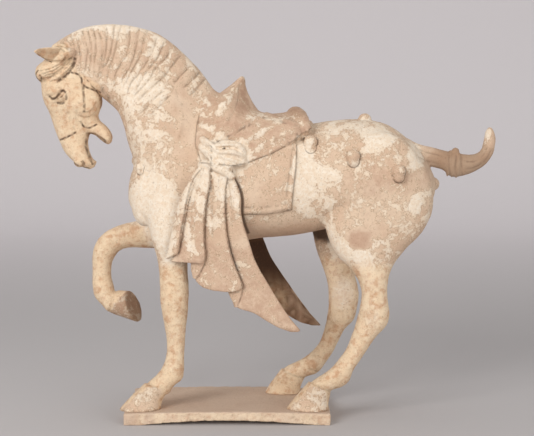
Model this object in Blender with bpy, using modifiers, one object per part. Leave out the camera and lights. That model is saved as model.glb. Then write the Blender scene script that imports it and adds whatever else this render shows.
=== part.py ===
"""Prancing saddled horse on a thin slab: a tomb figure of fired clay.

The horse faces -X and stands on the slab's top. Its left side, at -Y, is the one with the standing foreleg.
Tables of the figure are in UNIT: one 509th of its height, which is a millimetre at the real size. They give
a section by its two ends in the side view, and their heights start SOLE units above the slab.
"""

import math

import bmesh
import bpy
import numpy as np
from mathutils import Matrix, Vector
from mathutils.bvhtree import BVHTree

# Driving dimensions, in metres.
FIGURE_HEIGHT = 0.509  # from the slab's top at its ends to the crest of the neck
PLINTH_LENGTH = 0.270
PLINTH_WIDTH = 0.170
PLINTH_THICKNESS = 0.0155  # at the ends
PLINTH_CENTRE_X = -0.050
PLINTH_FOOT = 0.024  # flat strip under each end of the slab
PLINTH_ARCH = 0.0060  # how far the warped underside lifts off the ground in the middle
PLINTH_CROWN = 0.0025  # how far the top bows up in the middle
PLINTH_EDGE = 0.0016
HOOF_GAP = 0.0003  # joint between a hoof and the slab
FLESH_VOXEL = 0.0026
FLESH_SOFTENING = 14
DETAIL_VOXEL = 0.0015
SADDLE_SOFTENING = 3
DETAIL_SOFTENING = 2
HORSE_TRIANGLES = 9450
ROD_SIDES = 14
ARCH_STEPS = 13
GROUND_STEPS = 49
HORSE_COLOUR = (0.66, 0.52, 0.38)
PLINTH_COLOUR = (0.62, 0.49, 0.36)
CLAY_ROUGHNESS = 0.85

UNIT = FIGURE_HEIGHT / 509
BREADTH = PLINTH_WIDTH / 170  # a unit sideways, because the figure stands as wide as its slab
TABLE_UNITS = np.array((UNIT, BREADTH, UNIT))
SOLE = 5
NEAR, FAR = -1, 1

# Sections of the body: upper end x, z, lower end x, z, half width, how much narrower the top is.
TRUNK = [
    (-184, 279, -184, 269, 9, 0),
    (-181, 300, -180, 258, 30, 0),
    (-172, 322, -170, 245, 43, 0),
    (-158, 342, -156, 233, 50, 0.05),
    (-137, 366, -135, 222, 54, 0.10),
    (-110, 392, -110, 214, 57, 0.20),
    (-85, 408, -85, 212, 59, 0.28),
    (-60, 410, -60, 212, 62, 0.30),
    (-35, 398, -35, 214, 65, 0.22),
    (0, 380, 0, 218, 68, 0.10),
    (35, 373, 35, 221, 68, 0.05),
    (60, 371, 60, 225, 67, 0.04),
    (86, 375, 84, 230, 68, 0.06),
    (113, 377, 110, 228, 70, 0.08),
    (140, 376, 136, 224, 71, 0.08),
    (163, 370, 158, 220, 69, 0.08),
    (188, 353, 182, 222, 61, 0.05),
    (207, 335, 202, 233, 48, 0),
    (220, 315, 216, 252, 31, 0),
    (228, 296, 226, 272, 14, 0),
]
NECK = [
    (-288, 474, -262, 440, 16, 0.10),
    (-270, 486, -238, 420, 22, 0.20),
    (-247, 498, -221, 408, 24, 0.30),
    (-221, 504, -210, 399, 27, 0.35),
    (-195, 504, -198, 388, 30, 0.40),
    (-165, 499, -190, 370, 34, 0.42),
    (-137, 488, -184, 345, 39, 0.42),
    (-110, 466, -178, 325, 44, 0.40),
    (-88, 443, -176, 300, 48, 0.36),
    (-68, 416, -166, 272, 49, 0.34),
    (-50, 392, -148, 245, 43, 0.34),
    (-34, 370, -130, 232, 32, 0.30),
]

# Swellings of the body and of the head: x, how far out, z, radii, tilt in degrees.
MUSCLES = [
    (-160, 24, 268, 19, 22, 34, 0),
    (-120, 37, 298, 36, 24, 58, 12),
    (148, 41, 300, 60, 30, 62, 0),
]
HEAD_LUMPS = [
    (-241, 19, 401, 21, 10, 21, 0),
    (-277, 21, 416, 15, 8.5, 7, -20),
    (-271.5, 23.5, 404, 8, 6, 6.5, -20),
    (-248, 10, 322, 9, 7, 9, 30),
]

# Sections of a leg: front end x, z, back end x, z, middle y, half width.
NEAR_HIND = [
    (92, 330, 212, 318, 34, 30),
    (80, 290, 222, 283, 38, 32),
    (76, 252, 219, 250, 40, 30),
    (79, 232, 207, 228, 42, 28),
    (86, 211, 187, 208, 44, 26),
    (97, 194, 173, 191, 46, 23),
    (111, 181, 165, 177, 48, 20),
    (121, 168, 162, 164, 49, 18),
    (126, 152, 161, 150, 50, 16),
    (125, 136, 162, 135, 51, 16),
    (122, 121, 164.5, 123, 51, 16.5),
    (118, 107, 161, 107, 51, 16),
    (113, 92, 149, 94, 52, 14),
    (107, 77, 138, 79, 52, 12.5),
    (97, 62, 127, 61, 52, 12),
    (85, 48, 116, 46, 53, 13),
    (76, 42, 112, 33, 54, 14.5),
    (66, 36, 101, 24, 55, 14),
    (59, 31, 86, 20, 56, 15),
    (52, 20, 84, 10, 57, 18),
]
FAR_HIND = [
    (88, 330, 206, 318, 34, 30),
    (72, 290, 208, 283, 37, 32),
    (62, 252, 200, 250, 39, 30),
    (63, 230, 184, 228, 40, 28),
    (66, 211, 162, 208, 42, 26),
    (71, 193, 143, 191, 43, 23),
    (77, 177, 128, 178, 44, 20),
    (82, 163, 124, 164, 45, 18),
    (86, 147, 128, 148, 46, 17),
    (87, 131, 130, 133, 46, 16.5),
    (87, 116, 127.5, 116, 46, 16),
    (84.5, 100, 123, 99, 46, 15.5),
    (81, 85, 112, 88, 46, 14),
    (75, 68, 103, 71, 46, 12.5),
    (64, 54, 95, 55, 46, 13),
    (49, 43, 85, 40, 46, 14.5),
    (38, 38, 72, 23, 46, 14.5),
    (28, 33, 56, 19, 46, 15),
    (18, 24, 50, 10, 46, 18),
]
NEAR_FORE = [
    (-150, 320, -82, 300, 30, 26),
    (-158, 275, -84, 270, 34, 27),
    (-155, 238, -90, 240, 39, 25),
    (-149, 213, -98, 214, 43, 22),
    (-144, 197, -102, 196, 45, 19),
    (-141, 180, -102, 178, 46, 17),
    (-140, 160, -101, 160, 47, 16.5),
    (-139.5, 141, -101, 142, 48, 17),
    (-137, 122, -102, 123, 48, 16),
    (-133.5, 102, -104.5, 102, 49, 13),
    (-131, 82, -106, 82, 49, 12),
    (-132, 64, -107, 63, 50, 12.5),
    (-137, 50, -107, 47, 51, 14.5),
    (-146, 39, -110, 33, 52, 15),
    (-157, 29, -121, 26, 53, 15),
    (-167, 18, -127, 14, 54, 18),
]
RAISED_FORE = [
    (-135, 322, -78, 285, 30, 26),
    (-152, 285, -90, 245, 33, 27),
    (-160, 256, -112, 215, 36, 24),
    (-170, 240.5, -140, 200, 38, 20),
    (-185, 236, -170, 200, 38, 17),
    (-200, 232, -188, 200, 38, 16),
    (-217, 224.5, -200, 196.5, 38, 16),
    (-232, 211, -206.5, 189, 38, 17),
    (-238, 196, -211, 180, 37, 15),
    (-239, 178, -212, 168, 36, 13),
    (-239, 160, -211.5, 157, 35, 12.5),
    (-238.5, 145, -208, 147, 34, 14),
    (-235, 131, -208, 141, 33, 14),
    (-226, 122, -207, 139, 32, 13),
    (-216, 110, -203, 138, 31, 15),
]
HEAD = [
    (-280, 472, -246, 462, 12, 0),
    (-296, 455, -230, 440, 24, 0),
    (-300, 436, -223, 424, 27, 0),
    (-299.5, 422, -221, 411, 28.5, 0),
    (-298.5, 409, -221, 400, 28, 0),
    (-295, 397, -222, 388, 25, 0),
    (-289, 385, -226, 378, 21.5, 0),
    (-285, 372, -231, 368, 19, 0),
    (-281, 360, -235, 359, 17.5, 0),
    (-276.5, 348, -238, 349, 16.5, 0),
    (-271, 336, -237.5, 339, 16, 0),
    (-263.5, 326, -235, 330, 16.5, 0),
    (-255, 318.5, -231, 323, 16, 0),
    (-245, 312.5, -227, 320, 13, 0),
    (-236, 310, -230, 313, 6, 0),
]
LOWER_JAW = [
    (-262, 384, -225, 396, 17, 0),
    (-248, 369, -224, 382, 16, 0),
    (-238, 359, -221.5, 375, 14, 0),
    (-229, 355.5, -214.5, 369, 13.5, 0),
    (-221.5, 349.5, -208.5, 362, 13, 0),
    (-215.5, 345, -205.5, 353, 12, 0),
    (-211, 343, -206.5, 346.5, 7, 0),
]
TAIL = [
    (190, 352, 196, 318, 12, 0),
    (205, 344, 211, 316, 11, 0),
    (222, 340, 224, 313, 11, 0),
    (236, 336, 238, 309, 11.5, 0),
    (250, 333, 248, 301, 12, 0),
    (265, 330.5, 263, 300.5, 11.5, 0),
    (276, 329.5, 281, 307, 10.5, 0),
    (285, 332, 296, 317, 9.5, 0),
    (291, 339, 305, 330, 9, 0),
    (293, 350, 308.5, 347, 8, 0),
    (296, 362, 306, 361, 6.5, 0),
    (299, 366, 303, 365.5, 4, 0),
]

# Hooves: crown front x, z, crown back x, z, sole front x, back x, middle y of crown and sole, half widths.
HOOVES = [
    (57, 32, 86, 18, 30, 83, -56, -58, 16, 23),
    (22, 30, 54, 17, 1, 48, 46, 47, 16, 22),
    (-160, 29, -127, 23, -189, -138, -53, -56, 18, 25),
]
HOOF_ROOT = -12  # the standing hooves run down to here, and are then cut off at the slab
RAISED_HOOF = [
    (-218, 112, -203, 141, 14, 38),
    (-210, 109, -199, 141, 16, 36),
    (-190, 103, -194, 141, 17, 32),
    (-173, 99, -190, 141, 18, 28),
]

# Saddle: upper end x, z, lower end x, z, half width, narrowing of the top.
SADDLE = [
    (-74, 396, -78, 340, 44, 0.45),
    (-58, 404, -62, 335, 48, 0.50),
    (-42, 402, -46, 330, 51, 0.42),
    (-28, 395, -30, 328, 52, 0.32),
    (-14, 389, -14, 328, 53, 0.20),
    (5, 385, 5, 328, 54, 0.14),
    (22, 386, 22, 332, 55, 0.14),
    (36, 388, 36, 338, 54, 0.20),
    (47, 383, 47, 345, 50, 0.25),
    (57, 370, 57, 352, 44, 0.25),
]
# Pommel, from the tip down: back x, z, front x, z, half width, narrowing towards the back.
POMMEL = [
    (-28.5, 434.5, -33, 434.5, 4.5, 0.2),
    (-27, 430, -39, 429, 8, 0.4),
    (-26, 420, -51, 419, 13, 0.55),
    (-24, 408, -61, 409, 22, 0.55),
    (-20, 397, -68, 399, 32, 0.50),
    (-12, 385, -72, 387, 41, 0.42),
    (2, 368, -75, 370, 47, 0.30),
    (8, 350, -76, 352, 49, 0.20),
]
# Cantle: middle of the roll, x, y, z, and its radius, from the near side up to the top.
CANTLE = [
    (53, -48, 363, 3.5),
    (49, -42, 374, 5.5),
    (43, -28, 384, 7.5),
    (38, -12, 388, 8),
    (37, 0, 388.5, 8),
]
COVER = [
    (-60, 430), (-82, 402), (-90, 370), (-92, 345), (-84, 322), (-40, 318), (-24, 321), (-14, 325),
    (6, 332), (25, 342), (45, 357), (60, 366), (66, 380), (40, 430),
]
COVER_RISE = 4.4
COVER_FADE = (392, 424)  # the cover's thickness fades between these heights, up the pommel
FLAP = [(-70, 345), (-70, 258), (-29, 254), (3, 255), (34, 260), (36, 285), (40, 319), (41, 368), (0, 380)]
FLAP_RISE = 3.2
FLAP_BORDER = [(41, 352), (37.5, 319), (33, 288), (31, 264), (3, 259), (-29, 258), (-60, 260)]
FLAP_SEAM = [(35, 345), (32, 318), (28, 290), (26, 269), (3, 264.5), (-29, 263.5), (-60, 265)]

# Pleats of the hanging cloth, top to hem: left edge x, z, right edge x, z, how far out each edge stands.
PLEATS = {
    "front": [
        (-84, 317, -79, 318, 75, 80),
        (-97, 297, -92, 299, 75, 82),
        (-109, 274, -100, 277, 75, 84),
        (-115, 254, -105, 253, 75, 85),
        (-121, 229, -109, 229, 75, 85),
        (-126, 209, -112, 213, 76, 85),
        (-129, 196, -114, 204, 77, 85),
    ],
    "second": [
        (-81, 318, -72, 312, 76, 81),
        (-93, 297, -72, 294, 74, 82),
        (-103, 266, -77, 266, 74, 83),
        (-109, 236, -79, 236, 74, 83),
        (-114, 214, -79, 214, 74, 83),
        (-119, 202, -77, 204, 75, 83),
        (-123, 193, -81, 191, 76, 83),
    ],
    "second_turned": [
        (-94, 222, -80, 222, 72, 76),
        (-96, 198, -78, 202, 72, 77),
        (-97, 184, -80, 186, 73, 78),
        (-93, 171, -89, 170, 74, 78),
    ],
    "third": [
        (-74, 311, -48, 302, 75, 81),
        (-76, 290, -51, 290, 73, 81),
        (-81, 266, -52, 266, 72, 81),
        (-83, 236, -51, 238, 72, 81),
        (-83, 212, -46, 208, 72, 81),
        (-82, 194, -41, 192, 73, 81),
        (-86, 178, -35, 176, 74, 81),
        (-91, 169, -29, 160, 75, 81),
        (-84, 161, -36, 155, 76, 81),
        (-70, 156, -48, 154, 77, 80),
    ],
    "third_turned": [
        (-56, 178, -36, 178, 69, 74),
        (-50, 157, -30, 157, 70, 76),
        (-39, 133, -35, 133, 72, 76),
    ],
    "rear": [
        (-54, 302, -43, 306, 76, 80),
        (-56, 280, -33, 281, 72, 80),
        (-56, 259, -32, 259, 70, 80),
        (-56, 240, -29, 242, 69, 80),
        (-52, 216, -21, 218, 69, 79),
        (-46, 196, -14, 195, 69, 78),
        (-40, 176, -3, 175, 70, 78),
        (-34, 154, 12, 150, 72, 78),
        (-37, 133, 24, 131, 74, 79),
        (-16, 126, 33, 118, 76, 80),
        (1, 116, 39, 111, 78, 80),
        (17, 107, 44, 105, 79, 81),
        (33, 102, 45.5, 102, 80, 81),
    ],
}
PLEAT_THICKNESS = 7.5
# The right side's cloth swings further back and hangs lower towards its hem.
FAR_SWING = (4, 0.132, 0.075)
CLOTH_TOP = 317
# What joins the cloth to the flank, above the belly: left x, z, right x, z, outer face.
BACKING = [
    (-88, 322, -40, 322, 74),
    (-96, 296, -42, 296, 74),
    (-104, 264, -42, 264, 73),
    (-110, 236, -44, 236, 71),
    (-114, 218, -60, 222, 66),
    (-116, 206, -92, 210, 66),
]
BACKING_HALF = 12
# Rolls of the knot: x, z, how far out the middle of the roll is, radius.
KNOT = [
    [(-92, 355, 48, 4), (-80, 347, 64, 5.2), (-64, 335, 73, 6.2), (-47, 319, 77, 5.2)],
    [(-94, 345, 50, 4), (-82, 337, 66, 5), (-67, 326, 74, 5.4), (-52, 313, 78, 5)],
    [(-68, 338, 70, 4.5), (-56, 345, 72, 5.2), (-42, 345, 71, 5.6), (-31, 338, 69, 5.2), (-27, 328, 66, 4)],
    [(-68, 332, 74, 3.4), (-54, 335, 77, 4.4), (-40, 334, 76, 4.8), (-28, 327, 71, 3.6)],
    [(-60, 325, 76, 3.4), (-46, 325, 77, 4.4), (-34, 321, 74, 4.2), (-20, 327, 60, 3)],
    [(-87, 320, 74, 4.5), (-72, 319, 77, 5.6), (-55, 312, 79, 6), (-44, 304, 79, 5)],
]
KNOT_CREASES = [
    [(-86, 346), (-70, 334), (-54, 318)],
    [(-66, 340), (-54, 339.5), (-40, 339.5), (-30, 333)],
    [(-64, 329), (-50, 330), (-38, 328.5), (-28, 323)],
]
COVER_FOLDS = [
    [(-52, 395), (-64, 372), (-72, 350)],
    [(-38, 392), (-48, 370), (-58, 346)],
    [(-20, 378), (-34, 362), (-46, 344)],
    [(12, 366), (-10, 354), (-32, 342)],
    [(35, 360), (10, 345), (-18, 332)],
]

FORELOCK = [
    (-262, 473, -254, 462, 17, 0),
    (-272, 467, -257, 450, 25, 0),
    (-285, 461, -264, 437, 30, 0),
    (-297, 454, -279, 427, 31, 0),
    (-305, 446, -293, 425.5, 28, 0),
    (-306, 438, -301, 427, 20, 0),
    (-304, 433, -302, 429, 8, 0),
]
FORELOCK_STRANDS = [
    [(-262, 463), (-270, 450), (-283, 442), (-300, 440)],
    [(-259, 456), (-268, 443), (-282, 435), (-301, 434)],
    [(-266, 470), (-276, 458), (-290, 450), (-303, 448)],
]
POLL_TUFT = [
    (-284, 474, -268, 462, 10, 0),
    (-276, 480, -258, 462, 15, 0),
    (-264, 487, -248, 462, 18, 0),
    (-250, 490, -240, 470, 16, 0),
]
EAR = [
    (-252, 471, -254, 460, 6, 22),
    (-264, 472, -266, 455, 9, 26),
    (-278, 472, -278, 452.5, 9, 29),
    (-290, 471.5, -289, 455.5, 7.5, 29),
    (-298, 470, -296.5, 459.5, 6, 27),
    (-305, 467.5, -304, 465.5, 2.5, 25),
]
EAR_HOLLOW = [(-264, 464), (-280, 462), (-292, 464), (-302, 466)]

# Round ornaments hung from the straps, with a lower lobe: x, z, size against the largest.
BOSSES = [(59, 348, 1.0), (114, 330, 1.0), (173, 310, 1.0), (-165, 314, 0.65)]
BOSS_REACH = 8.8
BOSS_RISE = 7.4
BOSS_PROUD = 2.8
BOSS_DROP = 6.8
BOSS_TIP = (7.4, 6.4, 7.6)
MIDLINE_BOSSES = [(-171, 0, 322), (133, 0, 376), (225, 0, 290)]

# Mane: where the first, middle and last locks start at the crest, pass and end.
MANE_START = [(-260, 480), (-225, 495), (-182, 497), (-139, 480), (-104, 450)]
MANE_MIDDLE = [(-249, 453), (-221, 457), (-188, 452), (-157, 437), (-128, 414)]
MANE_END = [(-247, 425), (-221, 425), (-197, 416), (-174, 402), (-152, 381)]
MANE_LOCKS = 19

CHEEK_EDGE = [(-221, 400), (-226, 390), (-236, 384), (-246, 386)]
EYELID = [(-287, 408), (-282, 405), (-275, 409), (-270, 412.5), (-266, 411), (-264, 405)]
NOSTRIL = [(-249, 330), (-246, 323), (-246, 317)]
JAW_HOLLOW = [(-234, 354), (-226, 352), (-218, 348), (-211, 345)]
BRIDLE = [
    [(-258, 440), (-245, 432), (-235, 418), (-220, 412)],
    [(-242, 428), (-241, 408), (-241, 388)],
    [(-246, 375), (-241, 367), (-233, 366), (-224, 371)],
    [(-275, 349), (-262, 355), (-250, 361)],
]
BREAST_STRAP = [(-109, 377), (-113, 361), (-122, 340), (-131, 326), (-139, 310)]
ARMPIT = [(-166, 254), (-160, 246), (-154, 236)]
TAIL_KNOT = (255, 0, 333)
TAIL_KNOT_RADII = (5.5, 7, 6)
TAIL_WRAPS = [(246, 318), (252, 317), (258, 316)]
TAIL_WRAP_RADII = (2.6, 13.5, 18)
TAIL_WRAP_TILT = 6

# Tool marks on the saddle and on the whole figure: paths, width, depth. A mark of negative depth is a ridge.
SADDLE_MARKS = [
    ([FLAP_BORDER], 3.2, -1.5),
    ([FLAP_SEAM], 2.4, 1.2),
    (COVER_FOLDS, 5.0, 1.8),
]
MANE_MARK = (2.5, 2.6)
MARKS = [
    (FORELOCK_STRANDS, 2.6, 1.8),
    (KNOT_CREASES, 2.6, 2.4),
    ([EAR_HOLLOW], 7.0, 3.4),
    ([CHEEK_EDGE], 4.0, 1.6),
    ([EYELID], 2.6, 2.2),
    ([NOSTRIL], 3.4, 2.2),
    ([JAW_HOLLOW], 3.4, 3.0),
    (BRIDLE, 2.4, -1.1),
    ([BREAST_STRAP], 3.4, -1.6),
]
ARMPIT_MARK = (3.0, 1.8)


def smooth_rows(rows, steps):
    """The rows and the points of a smooth curve between them, steps to a span."""
    knots = np.array(rows, float)
    place = np.concatenate([[0.0], np.cumsum(np.linalg.norm(np.diff(knots[:, :6], axis=0), axis=1))])
    slope = np.gradient(knots, place, axis=0)
    found = []
    for i in range(len(knots) - 1):
        span = place[i + 1] - place[i]
        for s in np.arange(steps) / steps:
            rise = s * s * (3 - 2 * s)
            found.append(
                knots[i] * (1 - rise)
                + knots[i + 1] * rise
                + span * slope[i] * s * (1 - s) ** 2
                - span * slope[i + 1] * s * s * (1 - s)
            )
    return np.array(found + [knots[-1]])


def mesh_object(name, bm):
    bmesh.ops.recalc_face_normals(bm, faces=bm.faces)
    mesh = bpy.data.meshes.new(name)
    bm.to_mesh(mesh)
    bm.free()
    made = bpy.data.objects.new(name, mesh)
    bpy.context.scene.collection.objects.link(made)
    return made


def placed(point):
    """A point of the tables in the shared frame."""
    return Vector((point[0] * UNIT, point[1] * BREADTH, (point[2] + SOLE) * UNIT + PLINTH_THICKNESS))


def loft(name, rows, sides=24, steps=4, power=2.0):
    """A closed solid through oval sections: one end x, y, z, other end x, y, z, half width, narrowing."""
    rows = smooth_rows(rows, steps)
    middle = (rows[:, 0:3] + rows[:, 3:6]) / 2
    reach = (rows[:, 0:3] - rows[:, 3:6]) / 2
    across = np.cross(np.gradient(middle, axis=0), reach)
    across /= np.linalg.norm(across, axis=1)[:, None]
    turn = (np.arange(sides) + 0.5) * math.tau / sides
    high = np.sign(np.sin(turn)) * np.abs(np.sin(turn)) ** (2 / power)
    wide = np.sign(np.cos(turn)) * np.abs(np.cos(turn)) ** (2 / power)
    bm = bmesh.new()
    rings = []
    for centre, half, side, row in zip(middle, reach, across, rows):
        girth = row[6] * (1 - row[7] * high) * wide
        points = centre + np.outer(high, half) + np.outer(girth, side)
        rings.append([bm.verts.new(placed(p)) for p in points])
    for lower, upper in zip(rings, rings[1:]):
        for k in range(sides):
            n = (k + 1) % sides
            bm.faces.new((lower[k], lower[n], upper[n], upper[k]))
    bm.faces.new(rings[0])
    bm.faces.new(rings[-1])
    return mesh_object(name, bm)


def body_loft(name, rows, **options):
    return loft(name, [(a, 0, b, c, 0, d, wide, taper) for a, b, c, d, wide, taper in rows], **options)


def leg_loft(name, rows, side):
    return loft(name, [(a, side * y, b, c, side * y, d, wide, 0) for a, b, c, d, y, wide in rows], sides=20)


def lump(name, centre, radii, tilt=0.0):
    """An oval swelling, tilted in the side view by tilt degrees."""
    bm = bmesh.new()
    bmesh.ops.create_uvsphere(bm, u_segments=20, v_segments=12, radius=1.0)
    turn = Matrix.Rotation(math.radians(tilt), 4, "Y")
    size = Matrix.Diagonal((radii[0] * UNIT, radii[1] * BREADTH, radii[2] * UNIT, 1))
    bmesh.ops.transform(bm, matrix=Matrix.Translation(placed(centre)) @ turn @ size, verts=bm.verts)
    return mesh_object(name, bm)


def swellings(name, table, side):
    return [lump(name, (x, side * out, z), radii, tilt) for x, out, z, *radii, tilt in table]


def roll(name, points):
    """A round roll of clay through points x, y, z, radius."""
    rows = [(x, y, z + r, x, y, z - r, r, 0) for x, y, z, r in points]
    made = []
    for k, (a, b) in enumerate(zip(smooth_rows(rows, 4), smooth_rows(rows, 4)[1:])):
        start, end = Vector(a[:3]) - Vector((0, 0, a[6])), Vector(b[:3]) - Vector((0, 0, b[6]))
        made.append(rod(f"{name}_{k}", start, end, a[6], b[6]))
    return made


def rod(name, start, end, radius_a, radius_b):
    """A tapered rod with round ends."""
    bm = bmesh.new()
    span = end - start
    turn = span.to_track_quat("Z", "X").to_matrix().to_4x4()
    bmesh.ops.create_cone(
        bm, cap_ends=True, segments=ROD_SIDES, radius1=radius_a, radius2=radius_b, depth=span.length
    )
    bmesh.ops.transform(bm, matrix=Matrix.Translation((start + end) / 2) @ turn, verts=bm.verts)
    ball = bmesh.ops.create_icosphere(bm, subdivisions=2, radius=radius_b)["verts"]
    bmesh.ops.translate(bm, vec=end, verts=ball)
    for v in bm.verts:
        v.co = placed(v.co)
    return mesh_object(name, bm)


def merged(name, pieces, voxel, smoothing):
    """The pieces as one skin: remeshed together, and softened."""
    graph = bpy.context.evaluated_depsgraph_get()
    bm = bmesh.new()
    for piece in pieces:
        bm.from_mesh(piece.evaluated_get(graph).data)
    for piece in pieces:
        bpy.data.objects.remove(piece)
    whole = mesh_object(name, bm)
    skin = whole.modifiers.new("skin", "REMESH")
    skin.mode = "VOXEL"
    skin.voxel_size = voxel
    soft = whole.modifiers.new("soften", "SMOOTH")
    soft.factor = 0.5
    soft.iterations = smoothing
    return applied(whole)


def applied(thing):
    """The object with its modifiers made real."""
    graph = bpy.context.evaluated_depsgraph_get()
    mesh = bpy.data.meshes.new_from_object(thing.evaluated_get(graph))
    thing.modifiers.clear()
    thing.data = mesh
    return thing


def outer_shell(thing):
    """Drops the skins of hollows sealed inside, and keeps the outer one."""
    bm = bmesh.new()
    bm.from_mesh(thing.data)
    unseen = set(bm.verts)
    groups = []
    while unseen:
        front = [unseen.pop()]
        group = []
        while front:
            v = front.pop()
            group.append(v)
            for edge in v.link_edges:
                other = edge.other_vert(v)
                if other in unseen:
                    unseen.remove(other)
                    front.append(other)
        groups.append(group)
    groups.sort(key=len)
    spare = [v for group in groups[:-1] for v in group]
    bmesh.ops.delete(bm, geom=spare, context="VERTS")
    bm.to_mesh(thing.data)
    bm.free()
    return thing


def vertices_of(thing):
    """Places, in the units of the tables, and normals of the vertices."""
    count = len(thing.data.vertices)
    place, normal = np.empty(count * 3), np.empty(count * 3)
    thing.data.vertices.foreach_get("co", place)
    thing.data.vertices.foreach_get("normal", normal)
    place = place.reshape(-1, 3) - np.array(placed((0, 0, 0)))
    return place / TABLE_UNITS, normal.reshape(-1, 3)


def move_vertices(thing, place):
    thing.data.vertices.foreach_set("co", (place * TABLE_UNITS + np.array(placed((0, 0, 0)))).ravel())
    thing.data.update()


def ramp(value):
    value = np.clip(value, 0, 1)
    return value * value * (3 - 2 * value)


def depth_inside(points, outline):
    """Signed distance from an outline in the side view, positive inside."""
    corners = np.array(outline, float)
    nearest = np.full(len(points), 1e9)
    inside = np.zeros(len(points), bool)
    for a, b in zip(corners, np.roll(corners, -1, axis=0)):
        edge = b - a
        along = np.clip(((points - a) @ edge) / (edge @ edge), 0, 1)
        nearest = np.minimum(nearest, np.linalg.norm(points - a - along[:, None] * edge, axis=1))
        if a[1] != b[1]:
            crosses = (a[1] > points[:, 1]) != (b[1] > points[:, 1])
            inside ^= crosses & (points[:, 0] < a[0] + (points[:, 1] - a[1]) * edge[0] / edge[1])
    return np.where(inside, nearest, -nearest)


def raise_panel(thing, outline, height, fade=None, edge=2.4):
    """Lifts the skin inside an outline drawn on the side view, on both sides."""
    place, normal = vertices_of(thing)
    share = ramp(depth_inside(place[:, (0, 2)], outline) / edge + 0.5)
    if fade:
        share *= ramp((fade[1] - place[:, 2]) / (fade[1] - fade[0]))
    move_vertices(thing, place + normal * (height * share)[:, None])


def stroke(thing, path, width, depth, side=0, fade=0.2):
    """A tool mark along a path in the side view: a groove, or a ridge where depth is negative."""
    place, normal = vertices_of(thing)
    path = np.array(path, float)
    low, high = path.min(axis=0) - width, path.max(axis=0) + width
    view = place[:, (0, 2)]
    near = np.all((view > low) & (view < high), axis=1)
    if side:
        near &= place[:, 1] * side > 0
    index = np.nonzero(near)[0]
    points = view[index]
    lengths = np.linalg.norm(np.diff(path, axis=0), axis=1)
    starts = np.concatenate([[0.0], np.cumsum(lengths)])
    best, where = np.full(len(points), 1e9), np.zeros(len(points))
    for i, (a, b) in enumerate(zip(path, path[1:])):
        along = np.clip(((points - a) @ (b - a)) / lengths[i] ** 2, 0, 1)
        away = np.linalg.norm(points - a - along[:, None] * (b - a), axis=1)
        closer = away < best
        best = np.where(closer, away, best)
        where = np.where(closer, starts[i] + along * lengths[i], where)
    end = np.minimum(where, starts[-1] - where) / (fade * starts[-1] + 1e-9)
    share = np.clip(1 - (best / width) ** 2, 0, 1) * ramp(end + 0.1) * ramp(np.abs(normal[index, 1]) * 2.5)
    place[index] -= normal[index] * (depth * share)[:, None]
    move_vertices(thing, place)


def make_flesh():
    """Body, neck and legs of the bare horse."""
    pieces = [
        body_loft("trunk", TRUNK, sides=40, power=2.15),
        body_loft("neck", NECK, sides=36, power=2.1),
        leg_loft("near_hind_leg", NEAR_HIND, NEAR),
        leg_loft("far_hind_leg", FAR_HIND, FAR),
        leg_loft("near_foreleg", NEAR_FORE, NEAR),
        leg_loft("raised_foreleg", RAISED_FORE, FAR),
    ]
    for side in (NEAR, FAR):
        pieces += swellings("muscle", MUSCLES, side)
    return merged("flesh", pieces, FLESH_VOXEL, FLESH_SOFTENING)


def make_head():
    pieces = [body_loft("head", HEAD, sides=28, power=2.3), body_loft("lower_jaw", LOWER_JAW, sides=16)]
    for side in (NEAR, FAR):
        pieces += swellings("head_lump", HEAD_LUMPS, side)
        pieces.append(body_ear(side))
    return pieces


def body_ear(side):
    return loft("ear", [(a, side * y, b, c, side * y, d, wide, 0) for a, b, c, d, wide, y in EAR], sides=16)


def make_hooves():
    pieces = []
    for k, (xa, za, xb, zb, toe, heel, y_top, y_foot, wide, spread) in enumerate(HOOVES):
        share = -(za + zb) / 2 / (HOOF_ROOT - (za + zb) / 2)
        rows = [(xa, y_top, za, xb, y_top, zb, wide, 0)]
        rows.append((toe, y_foot, 0, heel, y_foot, 0, wide * (1 - share) + spread * share, 0))
        rows.append((toe - (xa - toe) * 0.3, y_foot, HOOF_ROOT, heel, y_foot, HOOF_ROOT, spread, 0))
        pieces.append(loft(f"hoof_{k}", rows, power=2.2))
    rows = [(a, y, b, c, y, d, wide, 0) for a, b, c, d, wide, y in RAISED_HOOF]
    pieces.append(loft("raised_hoof", rows, power=2.1))
    return pieces


def make_saddle():
    pieces = [
        body_loft("saddle", SADDLE, sides=32, power=2.2),
        body_loft("pommel", POMMEL, sides=28, power=2.1),
    ]
    return pieces + roll("cantle", CANTLE + [(x, -y, z, r) for x, y, z, r in CANTLE[::-1] if y])


def swung(x, z, side):
    """A point of the near cloth, moved to where the far one hangs."""
    drop = max(CLOTH_TOP - z, 0)
    if side == NEAR:
        return x, z
    return x + FAR_SWING[0] + FAR_SWING[1] * drop, z - FAR_SWING[2] * drop


def make_cloth(side):
    """The pleated cloth that hangs from the knot."""
    pieces = []
    for name, rows in PLEATS.items():
        edges = []
        for xa, za, xb, zb, out_a, out_b in rows:
            xa, za = swung(xa, za, side)
            xb, zb = swung(xb, zb, side)
            inset = PLEAT_THICKNESS / 2
            edges.append((xa, side * (out_a - inset), za, xb, side * (out_b - inset), zb, inset, 0))
        pieces.append(loft(name, edges, sides=32, power=4))
    edges = []
    for xa, za, xb, zb, out in BACKING:
        xa, za = swung(xa, za, side)
        xb, zb = swung(xb, zb, side)
        middle = out - BACKING_HALF
        edges.append((xa, side * middle, za, xb, side * middle, zb, BACKING_HALF, 0))
    pieces.append(loft("backing", edges, sides=24, power=4))
    return pieces


def flank(tree, x, z, side):
    """How far out the skin is, at a point of the side view."""
    hit = tree.ray_cast(placed((x, side * 200, z)), Vector((0, -side, 0)))[0]
    return abs(hit.y) / BREADTH


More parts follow.
